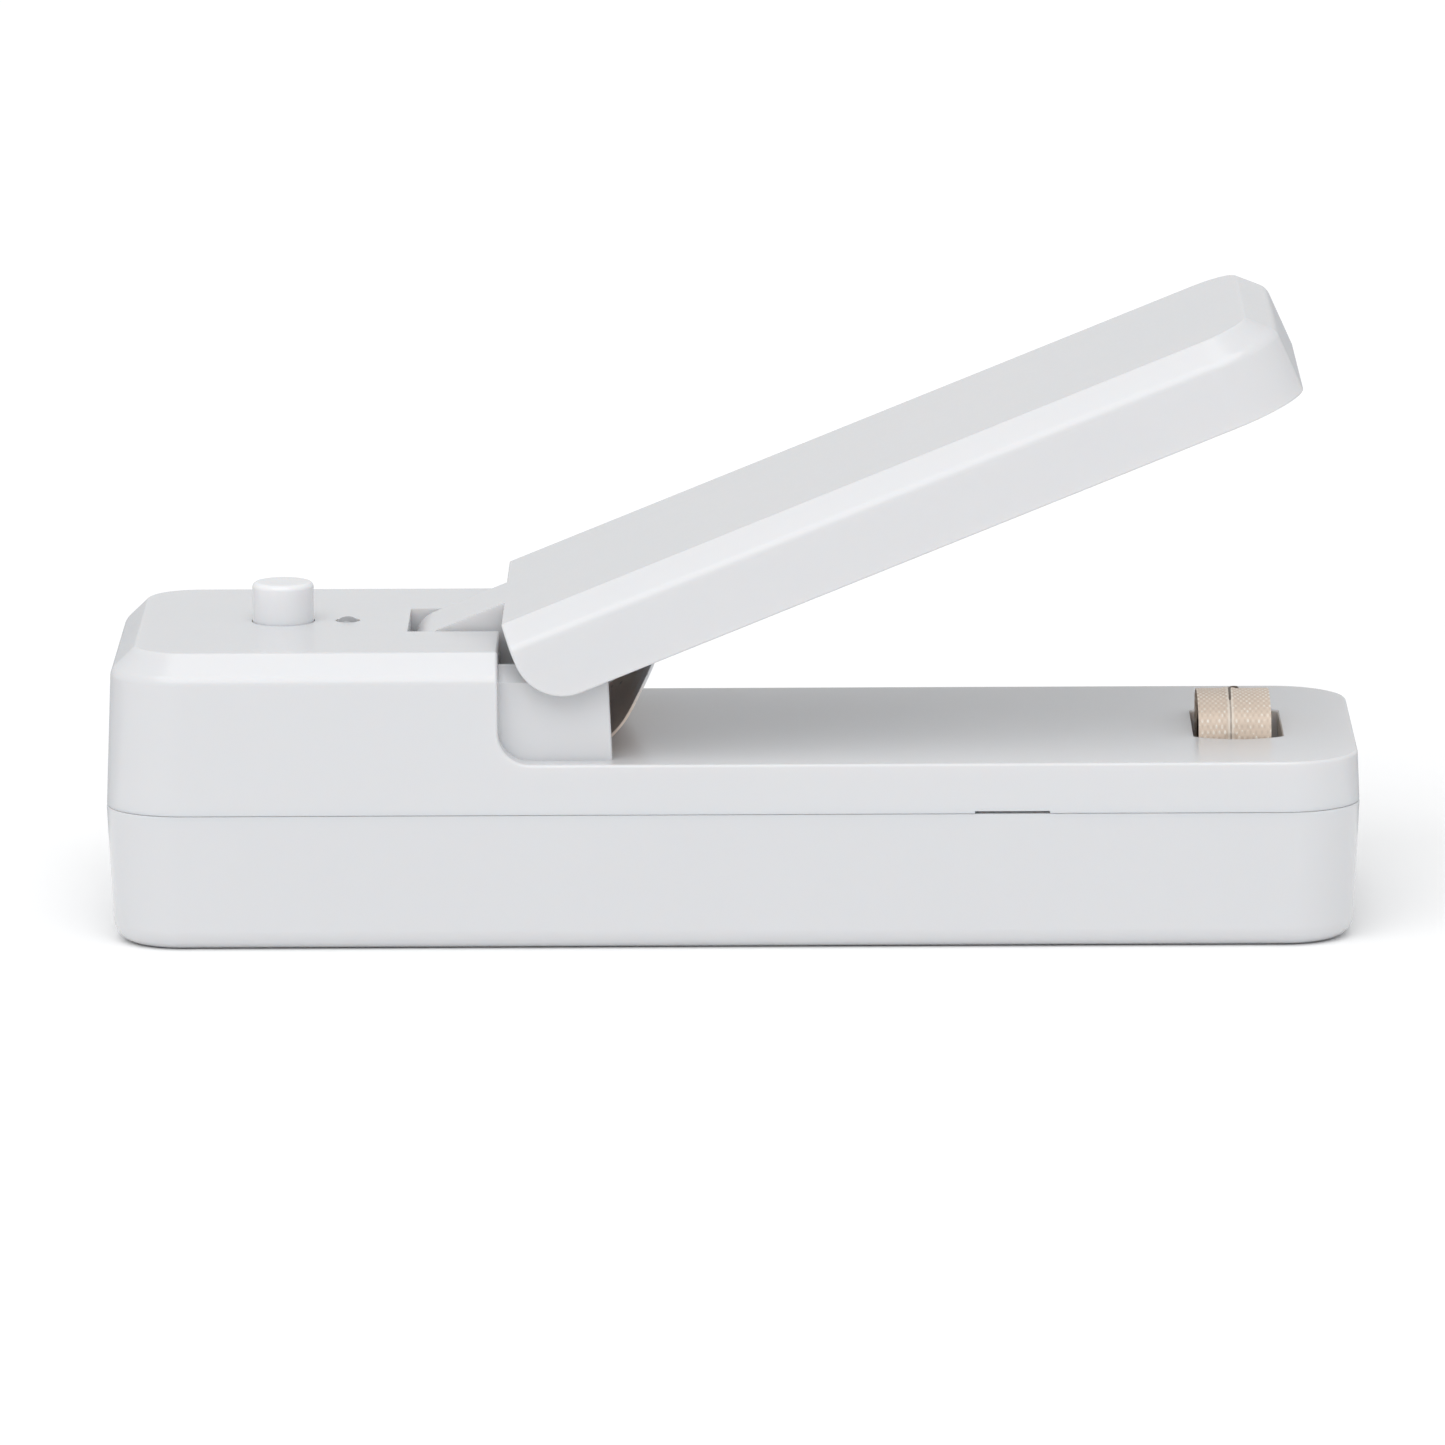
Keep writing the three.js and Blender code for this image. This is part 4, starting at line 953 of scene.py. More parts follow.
class SEALER_OT_upper_case(bpy.types.Operator):
    """Build the upper shell with its block, deck, slot, cheeks and heater pocket"""

    bl_idname = "sealer.upper_case"
    bl_label = "Upper Case"

    def execute(self, context):
        case = group("case")
        lever = group("lever")
        heater = group("heater")
        controls = group("controls")
        face = block_face()
        ceiling = BLOCK_TOP - case.wall
        under_deck = case.deck - case.wall
        far = 2 * HALF_LENGTH

        shell = chamfered_form("upper_shell", PARTING)
        bevel(shell, level(PARTING), case.seam, 2)
        step = block("step", (face, -far, case.deck), (far, far, far))
        bevel(step, lambda spots: all(at(spot.x, face) and at(spot.z, case.deck)
                                      for spot in spots), case.fillet, 14)
        boolean(shell, step, "DIFFERENCE")
        tidy_mesh(shell)
        self.round_step(shell, face, case)

        hollow = chamfered_hollow("hollow", PARTING - MM, case.wall, case.wall)
        boolean(hollow, block("low", (face - case.wall, -far, under_deck), (far, far, far)),
                "DIFFERENCE")
        boolean(shell, hollow, "DIFFERENCE")

        slot_end = HINGE.x - knuckle() - 0.5 * MM
        floor = HINGE.z - knuckle() - lever.slot_floor
        half = slot_half()
        pocket_x = heater.pocket / 2
        pocket_y = pocket_half()
        pocket_floor = case.deck - heater.pocket_depth
        pocket_base = pocket_floor - heater.pocket_wall
        x = heater_x()
        mid = x + heater.pocket_shift
        wells = [
            block("slot_well", (slot_end - lever.slot_wall, -half - lever.slot_wall,
                                floor - lever.slot_wall),
                  (face - 0.5 * MM, half + lever.slot_wall, ceiling + WELD)),
            block("pocket_well", (mid - pocket_x - heater.pocket_wall,
                                  -pocket_y - heater.pocket_wall, pocket_base),
                  (mid + pocket_x + heater.pocket_wall, pocket_y + heater.pocket_wall,
                   under_deck + WELD)),
        ]
        bosses = [rod("boss", BOSS, (spot.x, spot.y, TRAY_HIGH.z + 0.15 * MM),
                      (spot.x, spot.y, under_deck + WELD), 32) for spot in tray_screws()]
        bosses += [rod("boss", BOARD_BOSS, (spot.x, spot.y, BOARD_HIGH.z + 0.15 * MM),
                       (spot.x, spot.y, ceiling + WELD), 32) for spot in pair("board_screw")]
        bosses += [rod("boss", BOSS, (spot.x, spot.y, under_deck - 1.6 * MM),
                       (spot.x, spot.y, under_deck + WELD), 32)
                   for spot in pair("leaf_screw")]
        join(shell, wells + bosses + [cheek(-1), cheek(1)])

        button = centre("push_button")
        light = centre("indicator_light")
        slot = block("slot", (slot_end, -half, floor), (face + MM, half, BLOCK_TOP + MM))
        pocket = self.rounded_pocket(mid, pocket_x, pocket_y, pocket_floor, case.deck)
        button_hole = rod("button_hole", controls.button + BUTTON_PLAY,
                          (button.x, 0, ceiling - MM), (button.x, 0, BLOCK_TOP + MM), 72)
        light_hole = rod("light_hole", controls.light + LIGHT_PLAY,
                         (light.x, 0, ceiling - MM), (light.x, 0, BLOCK_TOP + MM), 40)
        pin_hole = rod("pin_hole", controls.pin + PIN_PLAY,
                       (HINGE.x, -half - 2 * lever.slot_wall, HINGE.z),
                       (HINGE.x, half + 2 * lever.slot_wall, HINGE.z), 32)
        notch_x = HALF_LENGTH - case.notch_inset
        notch = block("notch", (notch_x - case.notch_width / 2, -HALF_WIDTH - MM, PARTING - MM),
                      (notch_x + case.notch_width / 2, 1.1 * MM - HALF_WIDTH,
                       PARTING + case.notch_height))
        inner, outer = BLOCK_HIGH.y - 0.3 * MM, pocket_y - 0.3 * MM
        ribbons = [block("ribbon_hole", (x - 1.6 * MM, min(hand * inner, hand * outer),
                                         pocket_base - MM),
                         (x + 1.6 * MM, max(hand * inner, hand * outer), pocket_floor + MM))
                   for hand in (-1, 1)]
        bores = [rod("bore", controls.screw + SCREW_PLAY, (spot.x, spot.y, low),
                     (spot.x, spot.y, high), 20)
                 for spots, low, high in (
                     (tray_screws(), TRAY_HIGH.z - MM, case.deck - MM),
                     (pair("board_screw"), BOARD_HIGH.z - MM, BOARD_HIGH.z + 7 * MM),
                     (pair("leaf_screw"), under_deck - 2.6 * MM, case.deck + MM))
                 for spot in spots]
        cut(shell, [slot, pocket, button_hole, light_hole, pin_hole, notch] + ribbons + bores)
        tidy_mesh(shell)
        smooth(shell)
        hand_over(shell, "base", "white_plastic", ["upper_case"])
        return {"FINISHED"}

    @staticmethod
    def rounded_pocket(mid, half_x, half_y, floor, deck):
        """The cutter for the heater pocket, with rounded ends and a soft rim."""
        radius = group("heater").pocket_round
        inner = half_y - radius
        tool = block("pocket", (mid - half_x, -inner, floor), (mid + half_x, inner, deck))
        caps = [rod("cap", radius, (mid, hand * inner, floor), (mid, hand * inner, deck), 160)
                for hand in (-1, 1)]
        join(tool, caps)
        boolean(tool, block("bounds", (mid - half_x, -2 * half_y, floor - MM),
                            (mid + half_x, 2 * half_y, deck + MM)), "INTERSECT")
        tidy_mesh(tool)
        bevel(tool, lambda spots: upright(spots) and at(abs(spots[0].x - mid), half_x),
              0.6 * MM, 4)
        choose(tool, "FACE", level(deck))
        bpy.ops.mesh.extrude_region_move(TRANSFORM_OT_translate={"value": (0, 0, 0.4 * MM)})
        bpy.ops.transform.resize(value=(1 + 0.3 * MM / half_x, 1 + 0.3 * MM / half_y, 1),
                                 center_override=(mid, 0, deck))
        leave()
        activate(tool)
        bpy.ops.transform.translate(value=(0, 0, -0.2 * MM))
        apply_place(tool)
        tidy_mesh(tool)
        return tool

    @staticmethod
    def round_step(shell, face, case):
        """Rounds the rim of the cut that makes the deck and the block's face."""
        limit = case.deck + case.fillet
        centre_x = face + case.fillet

        def on_cut(polygon):
            middle = polygon.center
            normal = polygon.normal
            on_deck = at(middle.z, case.deck) and normal.z > 0.99
            on_face = at(middle.x, face) and normal.x > 0.99
            on_round = (face - 0.1 * MM < middle.x < centre_x and middle.z < limit
                        and abs(normal.y) < 0.01 and normal.x > 0 and normal.z > 0)
            return on_deck or on_face or on_round

        bevel_border(shell, on_cut, case.deck_edge)


class SEALER_OT_lower_case(bpy.types.Operator):
    """Build the lower shell with its rounded bottom edge and locating lip"""

    bl_idname = "sealer.lower_case"
    bl_label = "Lower Case"

    def execute(self, context):
        case = group("case")
        lean = PARTING * math.tan(case.lower_draft)
        shell = prism("lower_shell", lean, 0.0, 0.0, PARTING)
        bevel(shell, level(0), case.foot, 8)
        bevel(shell, level(PARTING), case.seam, 2)
        lip_out = case.wall + 0.3 * MM
        lip_in = lip_out + 1.2 * MM
        top = PARTING + case.lip
        hollow = prism("hollow", lean + case.wall, case.wall, case.wall, PARTING + MM, 10)
        bevel(hollow, level(case.wall), MM, 3)
        boolean(shell, hollow, "DIFFERENCE")
        ring = prism("ring", lip_out, lip_out + upper_inset(top), PARTING - 3 * MM, top, 10)
        root = prism("root", case.wall - 0.2 * MM, case.wall - 0.2 * MM,
                     PARTING - 3 * MM, PARTING - MM, 10)
        boolean(ring, root, "UNION")
        boolean(ring, prism("core", lip_in, lip_in + upper_inset(top), PARTING - 5 * MM,
                            top + MM, 10), "DIFFERENCE")
        boolean(shell, ring, "UNION")
        tidy_mesh(shell)
        smooth(shell)
        hand_over(shell, "base", "white_plastic", ["lower_case"])
        return {"FINISHED"}


# ---- Lever -----------------------------------------------------------------------------


def carrier_screws():
    """Where the pad carrier's screws stand on the closed lever."""
    heater = group("heater")
    reach = heater.pocket / 2 + heater.carrier_wall + heater.carrier_flange / 2
    return [heater_x() - reach, heater_x() + reach]


def rim_height():
    """Height of the closed lever's rim."""
    return group("case").deck + group("lever").deck_gap


def carrier_top():
    """Height of the top of the carrier's flanges on the closed lever."""
    return rim_height() + group("heater").carrier_recess + group("heater").carrier_wall


def pad_bottom():
    """Height of the pad's face on the closed lever."""
    return TAPE_HIGH.z + PAD_LIFT


class SEALER_OT_lever(bpy.types.Operator):
    """Build the lever with its tongue, ribs and screw bosses"""

    bl_idname = "sealer.lever"
    bl_label = "Lever"

    def execute(self, context):
        case = group("case")
        lever = group("lever")
        heater = group("heater")
        controls = group("controls")
        far = 2 * HALF_LENGTH
        end = block_face() + lever.gap
        rim = rim_height()

        form = chamfered_form("lever", rim)
        shift(form, (-lever.tip, 0, 0))
        boolean(form, block("cut_off", (-far, -far, 0), (end, far, far)), "DIFFERENCE")
        tidy_mesh(form)
        bevel(form, lambda spots: all(at(spot.x, end) and at(spot.z, rim) for spot in spots),
              lever.heel, 16)
        tidy_mesh(form)
        self.round_end(form, end, rim)

        hollow = chamfered_hollow("hollow", rim - 2 * MM, lever.wall, lever.top_wall)
        shift(hollow, (-lever.tip, 0, 0))
        ribs = []
        x = carrier_screws()[0] - heater.carrier_flange / 2 - 2 * MM
        while x > end + 2 * lever.rib_pitch:
            ribs.append(block("rib", (x - lever.rib, -far, rim + 3 * MM), (x, far, far)))
            x -= lever.rib_pitch
        for rib in ribs:
            boolean(hollow, rib, "DIFFERENCE")
        boolean(form, hollow, "DIFFERENCE")

        arm = block("arm", (HINGE.x - knuckle(), -lever.tongue / 2, HINGE.z - knuckle()),
                    (end + lever.tongue_root, lever.tongue / 2, BLOCK_TOP))
        bevel(arm, lambda spots: all(at(spot.x, HINGE.x - knuckle()) for spot in spots)
              and at(spots[0].z, spots[1].z), knuckle() * 0.995, 16)
        bevel(arm, lambda spots: at(spots[0].y, spots[1].y) and abs(spots[0].x - spots[1].x) > 0
              and abs(spots[0].y) > lever.tongue / 2 - 0.1 * MM
              and max(spot.x for spot in spots) < end + MM
              and min(spot.z for spot in spots) < BLOCK_TOP - 0.05 * MM, 0.15 * MM, 2)
        tidy_mesh(arm)
        bosses = [rod("boss", heater.carrier_flange / 2 - 0.3 * MM,
                      (spot, 0, carrier_top() + 0.3 * MM),
                      (spot, 0, BLOCK_TOP - lever.top_wall + WELD), 32)
                  for spot in carrier_screws()]
        join(form, [arm] + bosses)
        bore = rod("bore", controls.pin + 0.3 * MM, (HINGE.x, -lever.tongue, HINGE.z),
                   (HINGE.x, lever.tongue, HINGE.z), 40)
        holes = [rod("hole", controls.screw + SCREW_PLAY, (spot, 0, carrier_top()),
                     (spot, 0, BLOCK_TOP - lever.top_wall - 0.3 * MM), 20)
                 for spot in carrier_screws()]
        cut(form, [bore] + holes)
        tidy_mesh(form)
        open_lever(form)
        smooth(form)
        hand_over(form, "lever", "white_plastic", ["lever_shell"])
        return {"FINISHED"}

    @staticmethod
    def round_end(form, end, rim):
        """Rounds the outer edges of the lever's end face and of its rim."""

        def on_end(polygon):
            normal = polygon.normal
            flat_end = normal.x < -0.99 and at(polygon.center.x, end)
            flat_rim = normal.z < -0.99
            heel = normal.x < -0.01 and abs(normal.y) < 0.01
            return flat_end or flat_rim or (heel and polygon.center.z < rim + 7 * MM)

        bevel_border(form, on_end, 0.3 * MM)


class SEALER_OT_press_pad(bpy.types.Operator):
    """Build the pad that presses on the heater, its carrier and its screws"""

    bl_idname = "sealer.press_pad"
    bl_label = "Press Pad"

    def execute(self, context):
        heater = group("heater")
        x = heater_x()
        wall = heater.carrier_wall
        half_x = heater.pocket / 2
        half_y = pocket_half() + heater.pad_margin
        low = carrier_top() - wall
        pad_top = pad_bottom() + heater.pad
        cup = block("pad_holder", (x - half_x - wall, -half_y - wall, low),
                    (x + half_x + wall, half_y + wall, pad_top + PIECE_GAP + wall))
        flange = block("flange", (x - half_x - wall - heater.carrier_flange, -4 * MM, low),
                       (x + half_x + wall + heater.carrier_flange, 4 * MM, carrier_top()))
        bevel(flange, upright, 2 * MM, 6)
        boolean(cup, flange, "UNION")
        bay = block("bay", (x - half_x, -half_y, low - MM), (x + half_x, half_y,
                                                             pad_top + PIECE_GAP))
        holes = [rod("hole", group("controls").screw + 0.3 * MM, (spot, 0, low - MM),
                     (spot, 0, carrier_top() + MM), 24) for spot in carrier_screws()]
        cut(cup, [bay] + holes)
        tidy_mesh(cup)
        bevel(cup, level(low), 0.2 * MM, 2)
        open_lever(cup)
        smooth(cup)
        hand_over(cup, "lever", "inner_plastic", ["pad_carrier"])

        pad = block("pad", (x - half_x + PIECE_GAP, -half_y + PIECE_GAP, pad_bottom()),
                    (x + half_x - PIECE_GAP, half_y - PIECE_GAP, pad_top))
        bevel(pad, lambda spots: True, 0.35 * MM, 3)
        open_lever(pad)
        smooth(pad)
        hand_over(pad, "lever", "silicone", ["press_pad"])
        for index, spot in enumerate(carrier_screws(), 1):
            screw = pan_screw(f"carrier_bolt_{index}", spot, 0, low - PIECE_GAP, 6 * MM, 1)
            open_lever(screw)
            hand_over(screw, "lever", "steel", [f"carrier_screw_{index}"])
        return {"FINISHED"}


# ---- Fasteners, pin and leaf spring ----------------------------------------------------


def pan_screw(name, x, y, seat, reach, direction):
    """A pan-head screw with a cross recess, its head below (1) or above (-1) its seat."""
    controls = group("controls")
    radius = controls.screw_head
    rise = 1.5 * MM
    steps = 6
    profile = [(0.0, seat - direction * rise)]
    for step in range(steps + 1):
        turn = step / steps * math.pi / 2
        profile.append((radius * (0.55 + 0.45 * math.sin(turn)),
                        seat - direction * rise * (0.45 + 0.55 * math.cos(turn))))
    profile += [(radius, seat), (controls.screw, seat), (controls.screw, seat + direction
                * (reach - 0.6 * MM)), (0.0, seat + direction * reach)]
    screw = spun(name, profile, x, y, 40)
    depth = 0.7 * MM
    outside = seat - direction * (rise + MM)
    inside = seat - direction * (rise - depth)
    arms = [block("arm", (x - width, y - breadth, min(outside, inside)),
                  (x + width, y + breadth, max(outside, inside)))
            for width, breadth in ((1.25 * MM, 0.28 * MM), (0.28 * MM, 1.25 * MM))]
    cut(screw, arms)
    tidy_mesh(screw)
    return smooth(screw, 40)


class SEALER_OT_leaf_spring(bpy.types.Operator):
    """Build the bent strip that holds the lever open, and its screws"""

    bl_idname = "sealer.leaf_spring"
    bl_label = "Leaf Spring"

    def execute(self, context):
        controls = group("controls")
        strip = self.strip(controls)
        hand_over(strip, "base", "spring_steel", ["leaf_spring"])
        top_closed = BLOCK_TOP - group("lever").top_wall - LEAF_LOW.z
        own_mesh(strip)
        for index, spot in enumerate(pair("leaf_screw"), 1):
            seat = LEAF_LOW.z + 0.65 * MM
            screw = pan_screw(f"strip_bolt_{index}", spot.x, spot.y, seat, 4.2 * MM, -1)
            hand_over(screw, "base", "steel", [f"leaf_screw_{index}"])
        return {"FINISHED"}

    @staticmethod
    def strip(controls):
        """The strip: a flat foot, a bend and a long rising curve."""
        bend = block_face() + group("lever").cheek_length - 2.9 * MM
        foot = LEAF_LOW.z + controls.strip / 2
        rise = [(0.0, 0.0), (1.5, 0.65), (3.3, 2.1), (5.07, 4.22), (6.88, 7.62), (8.64, 11.45),
                (10.1, 15.9), (11.5, 20.2), (13.6, 23.2)]
        points = [Vector((LEAF_LOW.x, 0, foot)), Vector((bend - 4 * MM, 0, foot)),
                  Vector((bend - 1.2 * MM, 0, foot))]
        corners = [Vector((bend + across * MM, 0, foot + up * MM)) for across, up in rise]
        steps = 6
        for index in range(1, len(corners) - 2):
            before, start, stop, after = corners[index - 1:index + 3]
            for step in range(steps):
                points.append(spline_point(before, start, stop, after, step / steps))
        points += [corners[-2], (corners[-2] + corners[-1]) / 2 + Vector((0.1, 0, 0.25)) * MM,
                   corners[-1]]
        half = (LEAF_HIGH.y - LEAF_LOW.y) / 2
        obj = thread_line("spring_strip", [point + Vector((0, -half, 0)) for point in points])
        everything(obj)
        bpy.ops.mesh.extrude_edges_move(TRANSFORM_OT_translate={"value": (0, 2 * half, 0)})
        leave()
        tidy_mesh(obj)
        modify(obj, "SOLIDIFY", thickness=controls.strip, offset=0)
        modify(obj, "BEVEL", width=0.05 * MM, segments=2, limit_method="ANGLE",
               angle_limit=math.radians(50))
        tidy_mesh(obj)
        return smooth(obj, 40)


def spline_point(before, start, stop, after, share):
    """A point on the smooth curve between start and stop."""
    return 0.5 * (2 * start + (stop - before) * share
                  + (2 * before - 5 * start + 4 * stop - after) * share ** 2
                  + (3 * start - before - 3 * stop + after) * share ** 3)


class SEALER_OT_hinge_pin(bpy.types.Operator):
    """Build the hinge pin"""

    bl_idname = "sealer.hinge_pin"
    bl_label = "Hinge Pin"

    def execute(self, context):
        pin = rod("pivot_pin", group("controls").pin, (HINGE.x, PIN_LOW.y, HINGE.z),
                  (HINGE.x, PIN_HIGH.y, HINGE.z), 48)
        bevel(pin, lambda spots: at(spots[0].y, spots[1].y), 0.25 * MM, 3)
        smooth(pin, 40)
        hand_over(pin, "base", "steel", ["hinge_pin"])
        return {"FINISHED"}


# ---- Button and light ------------------------------------------------------------------


class SEALER_OT_button(bpy.types.Operator):
    """Build the push button"""

    bl_idname = "sealer.button"
    bl_label = "Push Button"

    def execute(self, context):
        controls = group("controls")
        spot = centre("push_button")
        top = BUTTON_HIGH.z
        edge = controls.button_edge
        flange_top = BLOCK_TOP - group("case").wall - 0.3 * MM
        flange_low = flange_top - 1.2 * MM
        wide = controls.button + controls.flange
        profile = [(0.0, BUTTON_LOW.z), (1.8 * MM, BUTTON_LOW.z), (2 * MM, BUTTON_LOW.z
                   + 0.2 * MM), (2 * MM, flange_low), (wide, flange_low), (wide, flange_top),
                   (controls.button, flange_top)]
        steps = 8
        for step in range(steps + 1):
            turn = step / steps * math.pi / 2
            profile.append((controls.button - edge * (1 - math.cos(turn)),
                            top - edge * (1 - math.sin(turn))))
        profile += [(controls.button * 0.5, top - 0.015 * MM), (0.0, top - 0.03 * MM)]
        button = spun("button_cap", profile, spot.x, spot.y, 96)
        smooth(button, 40)
        # painted light: the button gets a paler copy of the shell plastic in place of the light falling on it
        hand_over(button, "button", "white_plastic", ["push_button"],
                  shell_plastic("button_plastic", BUTTON_PAINTED_LIGHT))
        return {"FINISHED"}


class SEALER_OT_return_coil(bpy.types.Operator):
    """Build the coil that lifts the button"""

    bl_idname = "sealer.return_coil"
    bl_label = "Return Coil"

    def execute(self, context):
        controls = group("controls")
        low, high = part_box("button_spring")
        spot = centre("button_spring")
        radius = (high.x - low.x) / 2 - controls.coil_wire
        room = high.z - low.z
        steps = int(36 * controls.coil_turns)
        points = []
        for step in range(steps + 1):
            share = step / steps
            turn = 2 * math.pi * controls.coil_turns * share
            points.append(Vector((spot.x + radius * math.cos(turn),
                                  spot.y + radius * math.sin(turn),
                                  low.z + controls.coil_wire
                                  + share * (room - 2 * controls.coil_wire))))
        coil = tube("return_coil", points, controls.coil_wire)
        smooth(coil, 50)
        hand_over(coil, "base", "spring_steel", ["button_spring"])
        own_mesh(coil)
        return {"FINISHED"}


class SEALER_OT_light(bpy.types.Operator):
    """Build the indicator light"""

    bl_idname = "sealer.light"
    bl_label = "Indicator Light"

    def execute(self, context):
        controls = group("controls")
        spot = centre("indicator_light")
        radius = controls.light
        top = LIGHT_HIGH.z
        ledge = BLOCK_TOP - group("case").wall - 0.15 * MM
        low = top - 5.3 * MM
        profile = [(0.0, low), (radius + 0.4 * MM, low), (radius + 0.4 * MM, ledge),
                   (radius, ledge)]
        steps = 12
        for step in range(steps + 1):
            turn = step / steps * math.pi / 2
            profile.append((radius * math.cos(turn), top - 0.75 * radius * (1 - math.sin(turn))))
        bulb = spun("light_dome", profile, spot.x, spot.y, 64)
        legs = [rod("leg", 0.3 * MM, (spot.x, spot.y + hand * 1.27 * MM, LIGHT_LOW.z),
                    (spot.x, spot.y + hand * 1.27 * MM, low + 0.1 * MM), 16)
                for hand in (-1, 1)]
        join(bulb, legs)
        tidy_mesh(bulb)
        smooth(bulb, 40)
        hand_over(bulb, "base", "light", ["indicator_light"])
        return {"FINISHED"}


# ---- Heater ----------------------------------------------------------------------------


def dome_curve(offset, bottom):
    """Points of the dome's end outline, set out by an offset, down to a height."""
    heater = group("heater")
    deck = group("case").deck
    draft = heater.arch_draft
    half = (BLOCK_HIGH.y - BLOCK_LOW.y) / 2
    middle = BLOCK_HIGH.z - heater.arch
    reach = heater.arch - heater.arch_edge
    meet = math.asin((half * math.cos(draft) + (deck - middle) * math.sin(draft)
                      - heater.arch_edge) / reach) - draft
    edge_y, edge_z = reach * math.sin(meet), middle + reach * math.cos(meet)
    steps = 40
    side = []
    for step in range(steps + 1):
        turn = meet * step / steps
        side.append(((heater.arch + offset) * math.sin(turn),
                     middle + (heater.arch + offset) * math.cos(turn)))
    for step in range(1, steps + 1):
        turn = meet + (math.pi / 2 - draft - meet) * step / steps
        side.append((edge_y + (heater.arch_edge + offset) * math.sin(turn),
                     edge_z + (heater.arch_edge + offset) * math.cos(turn)))
    outer = half + offset / math.cos(draft)
    side += [(outer, deck), (outer, bottom)]
    points = [(-y, z) for y, z in reversed(side)] + side[1:]
    return even_points(points, 0.22 * MM)


def even_points(points, spacing):
    """The same outline with points about a spacing apart."""
    even = [points[0]]
    for (y0, z0), (y1, z1) in zip(points, points[1:]):
        span = math.hypot(y1 - y0, z1 - z0)
        count = max(1, round(span / spacing))
        for step in range(1, count + 1):
            share = step / count
            spot = (y0 + (y1 - y0) * share, z0 + (z1 - z0) * share)
            if math.hypot(spot[0] - even[-1][0], spot[1] - even[-1][1]) > 0.4 * spacing:
                even.append(spot)
    return even


def band(name, curve, width, divisions, ridge=None):
    """A sheet over the dome, with its length and width in its UV map, in metres."""
    x = heater_x()
    obj = thread_line(name, [Vector((x - width / 2, y, z)) for y, z in curve])
    step = width / divisions
    everything(obj)
    for _ in range(divisions):
        bpy.ops.mesh.extrude_edges_move(TRANSFORM_OT_translate={"value": (step, 0, 0)})
    leave()
    lengths = [0.0]
    for (y0, z0), (y1, z1) in zip(curve, curve[1:]):
        lengths.append(lengths[-1] + math.hypot(y1 - y0, z1 - z0))
    spots = {(round(y, 7), round(z, 7)): size for (y, z), size in zip(curve, lengths)}
    layer = obj.data.uv_layers.new(name="UVMap") if not obj.data.uv_layers \
        else obj.data.uv_layers[0]
    for loop in obj.data.loops:
        spot = obj.data.vertices[loop.vertex_index].co
        size = min(spots.items(), key=lambda item: abs(item[0][0] - spot.y)
                   + abs(item[0][1] - spot.z))[1]
        layer.data[loop.index].uv = (spot.x - x, size)
    if ridge:
        height, half = ridge
        for vertex in obj.data.vertices:
            away = (vertex.co.x - x - group("heater").seam) / half
            lift = height * math.exp(-away ** 4)
            outward = Vector((0, vertex.co.y * 0.8, vertex.co.z - group("case").deck)).normalized()
            if vertex.co.z > group("case").deck:
                vertex.co += outward * lift
    return obj


class SEALER_OT_heater(bpy.types.Operator):
    """Build the heater block, the ribbon over it and the tape that covers them"""

    bl_idname = "sealer.heater"
    bl_label = "Heater"

    def execute(self, context):
        heater = group("heater")
        width = TAPE_HIGH.x - TAPE_LOW.x
        offset = TAPE_HIGH.z - BLOCK_HIGH.z - 0.2 * MM
        tape = band("tape_cover", dome_curve(offset, TAPE_LOW.z), width, 46,
                    (heater.ridge, heater.ridge_width))
        tidy_mesh(tape, 0.001 * MM)
        modify(tape, "SOLIDIFY", thickness=0.18 * MM, offset=0)
        smooth(tape, 50)
        hand_over(tape, "base", "glass_tape", ["heater_tape"])

        self.ribbon()
        x = heater_x()
        half = (BLOCK_HIGH.x - BLOCK_LOW.x) / 2
        core = band("heater_core", dome_curve(0.0, BLOCK_LOW.z), 2 * half, 1)
        for end in (x - half, x + half):
            choose(core, "EDGE", lambda spots: all(at(spot.x, end) for spot in spots)
                   or all(at(spot.z, BLOCK_LOW.z) for spot in spots))
            bpy.ops.mesh.edge_face_add()
            leave()
        self.close(core)
        tidy_mesh(core)
        smooth(core, 40)
        hand_over(core, "base", "ceramic", ["heater_block"])
        return {"FINISHED"}

    @staticmethod
    def ribbon():
        """The heating ribbon and the bent end of its wire at the top of the seam."""
        heater = group("heater")
        width = RIBBON_HIGH.x - RIBBON_LOW.x
        strip = band("heating_strip", dome_curve(RIBBON_HIGH.z - BLOCK_HIGH.z - 0.12 * MM,
                                                 RIBBON_LOW.z), width, 4)
        tidy_mesh(strip, 0.001 * MM)
        modify(strip, "SOLIDIFY", thickness=0.2 * MM, offset=0)
        radius = heater.arch + TAPE_HIGH.z - BLOCK_HIGH.z
        seam = heater_x() + heater.seam
        route = [(0.0, -5.4, -0.35), (0.0, -4.2, -0.06), (0.03, -2.6, -0.02), (0.06, -0.8, -0.02),
                 (0.12, 0.9, -0.01), (0.3, 2.2, 0.0), (0.7, 2.9, 0.0), (1.1, 2.7, -0.05),
                 (1.3, 2.2, -0.35)]
        points = [Vector((seam + across * MM, y * MM, BLOCK_HIGH.z - heater.arch
                          + math.sqrt(radius ** 2 - (y * MM) ** 2) + lift * MM))
                  for across, y, lift in route]
        ends = [points[0]] + points + [points[-1]]
        smoothed = [spline_point(*ends[index:index + 4], step / 5)
                    for index in range(len(ends) - 3) for step in range(5)] + [points[-1]]
        bump = tube("wire_end", smoothed, heater.wire)
        wire = merge([strip, bump], "heating_wire")
        smooth(wire, 50)
        hand_over(wire, "base", "ribbon", ["heating_ribbon"])

    @staticmethod
    def close(core):
        """Closes the open ends and the underside of the block."""
        everything(core)
        bpy.ops.mesh.select_all(action="DESELECT")
        bpy.ops.mesh.select_mode(type="EDGE")
        bpy.ops.mesh.select_non_manifold(extend=False)
        bpy.ops.mesh.fill_holes(sides=0)
        leave()


# ---- Finishes on the remaining CAD nodes -------------------------------------------------


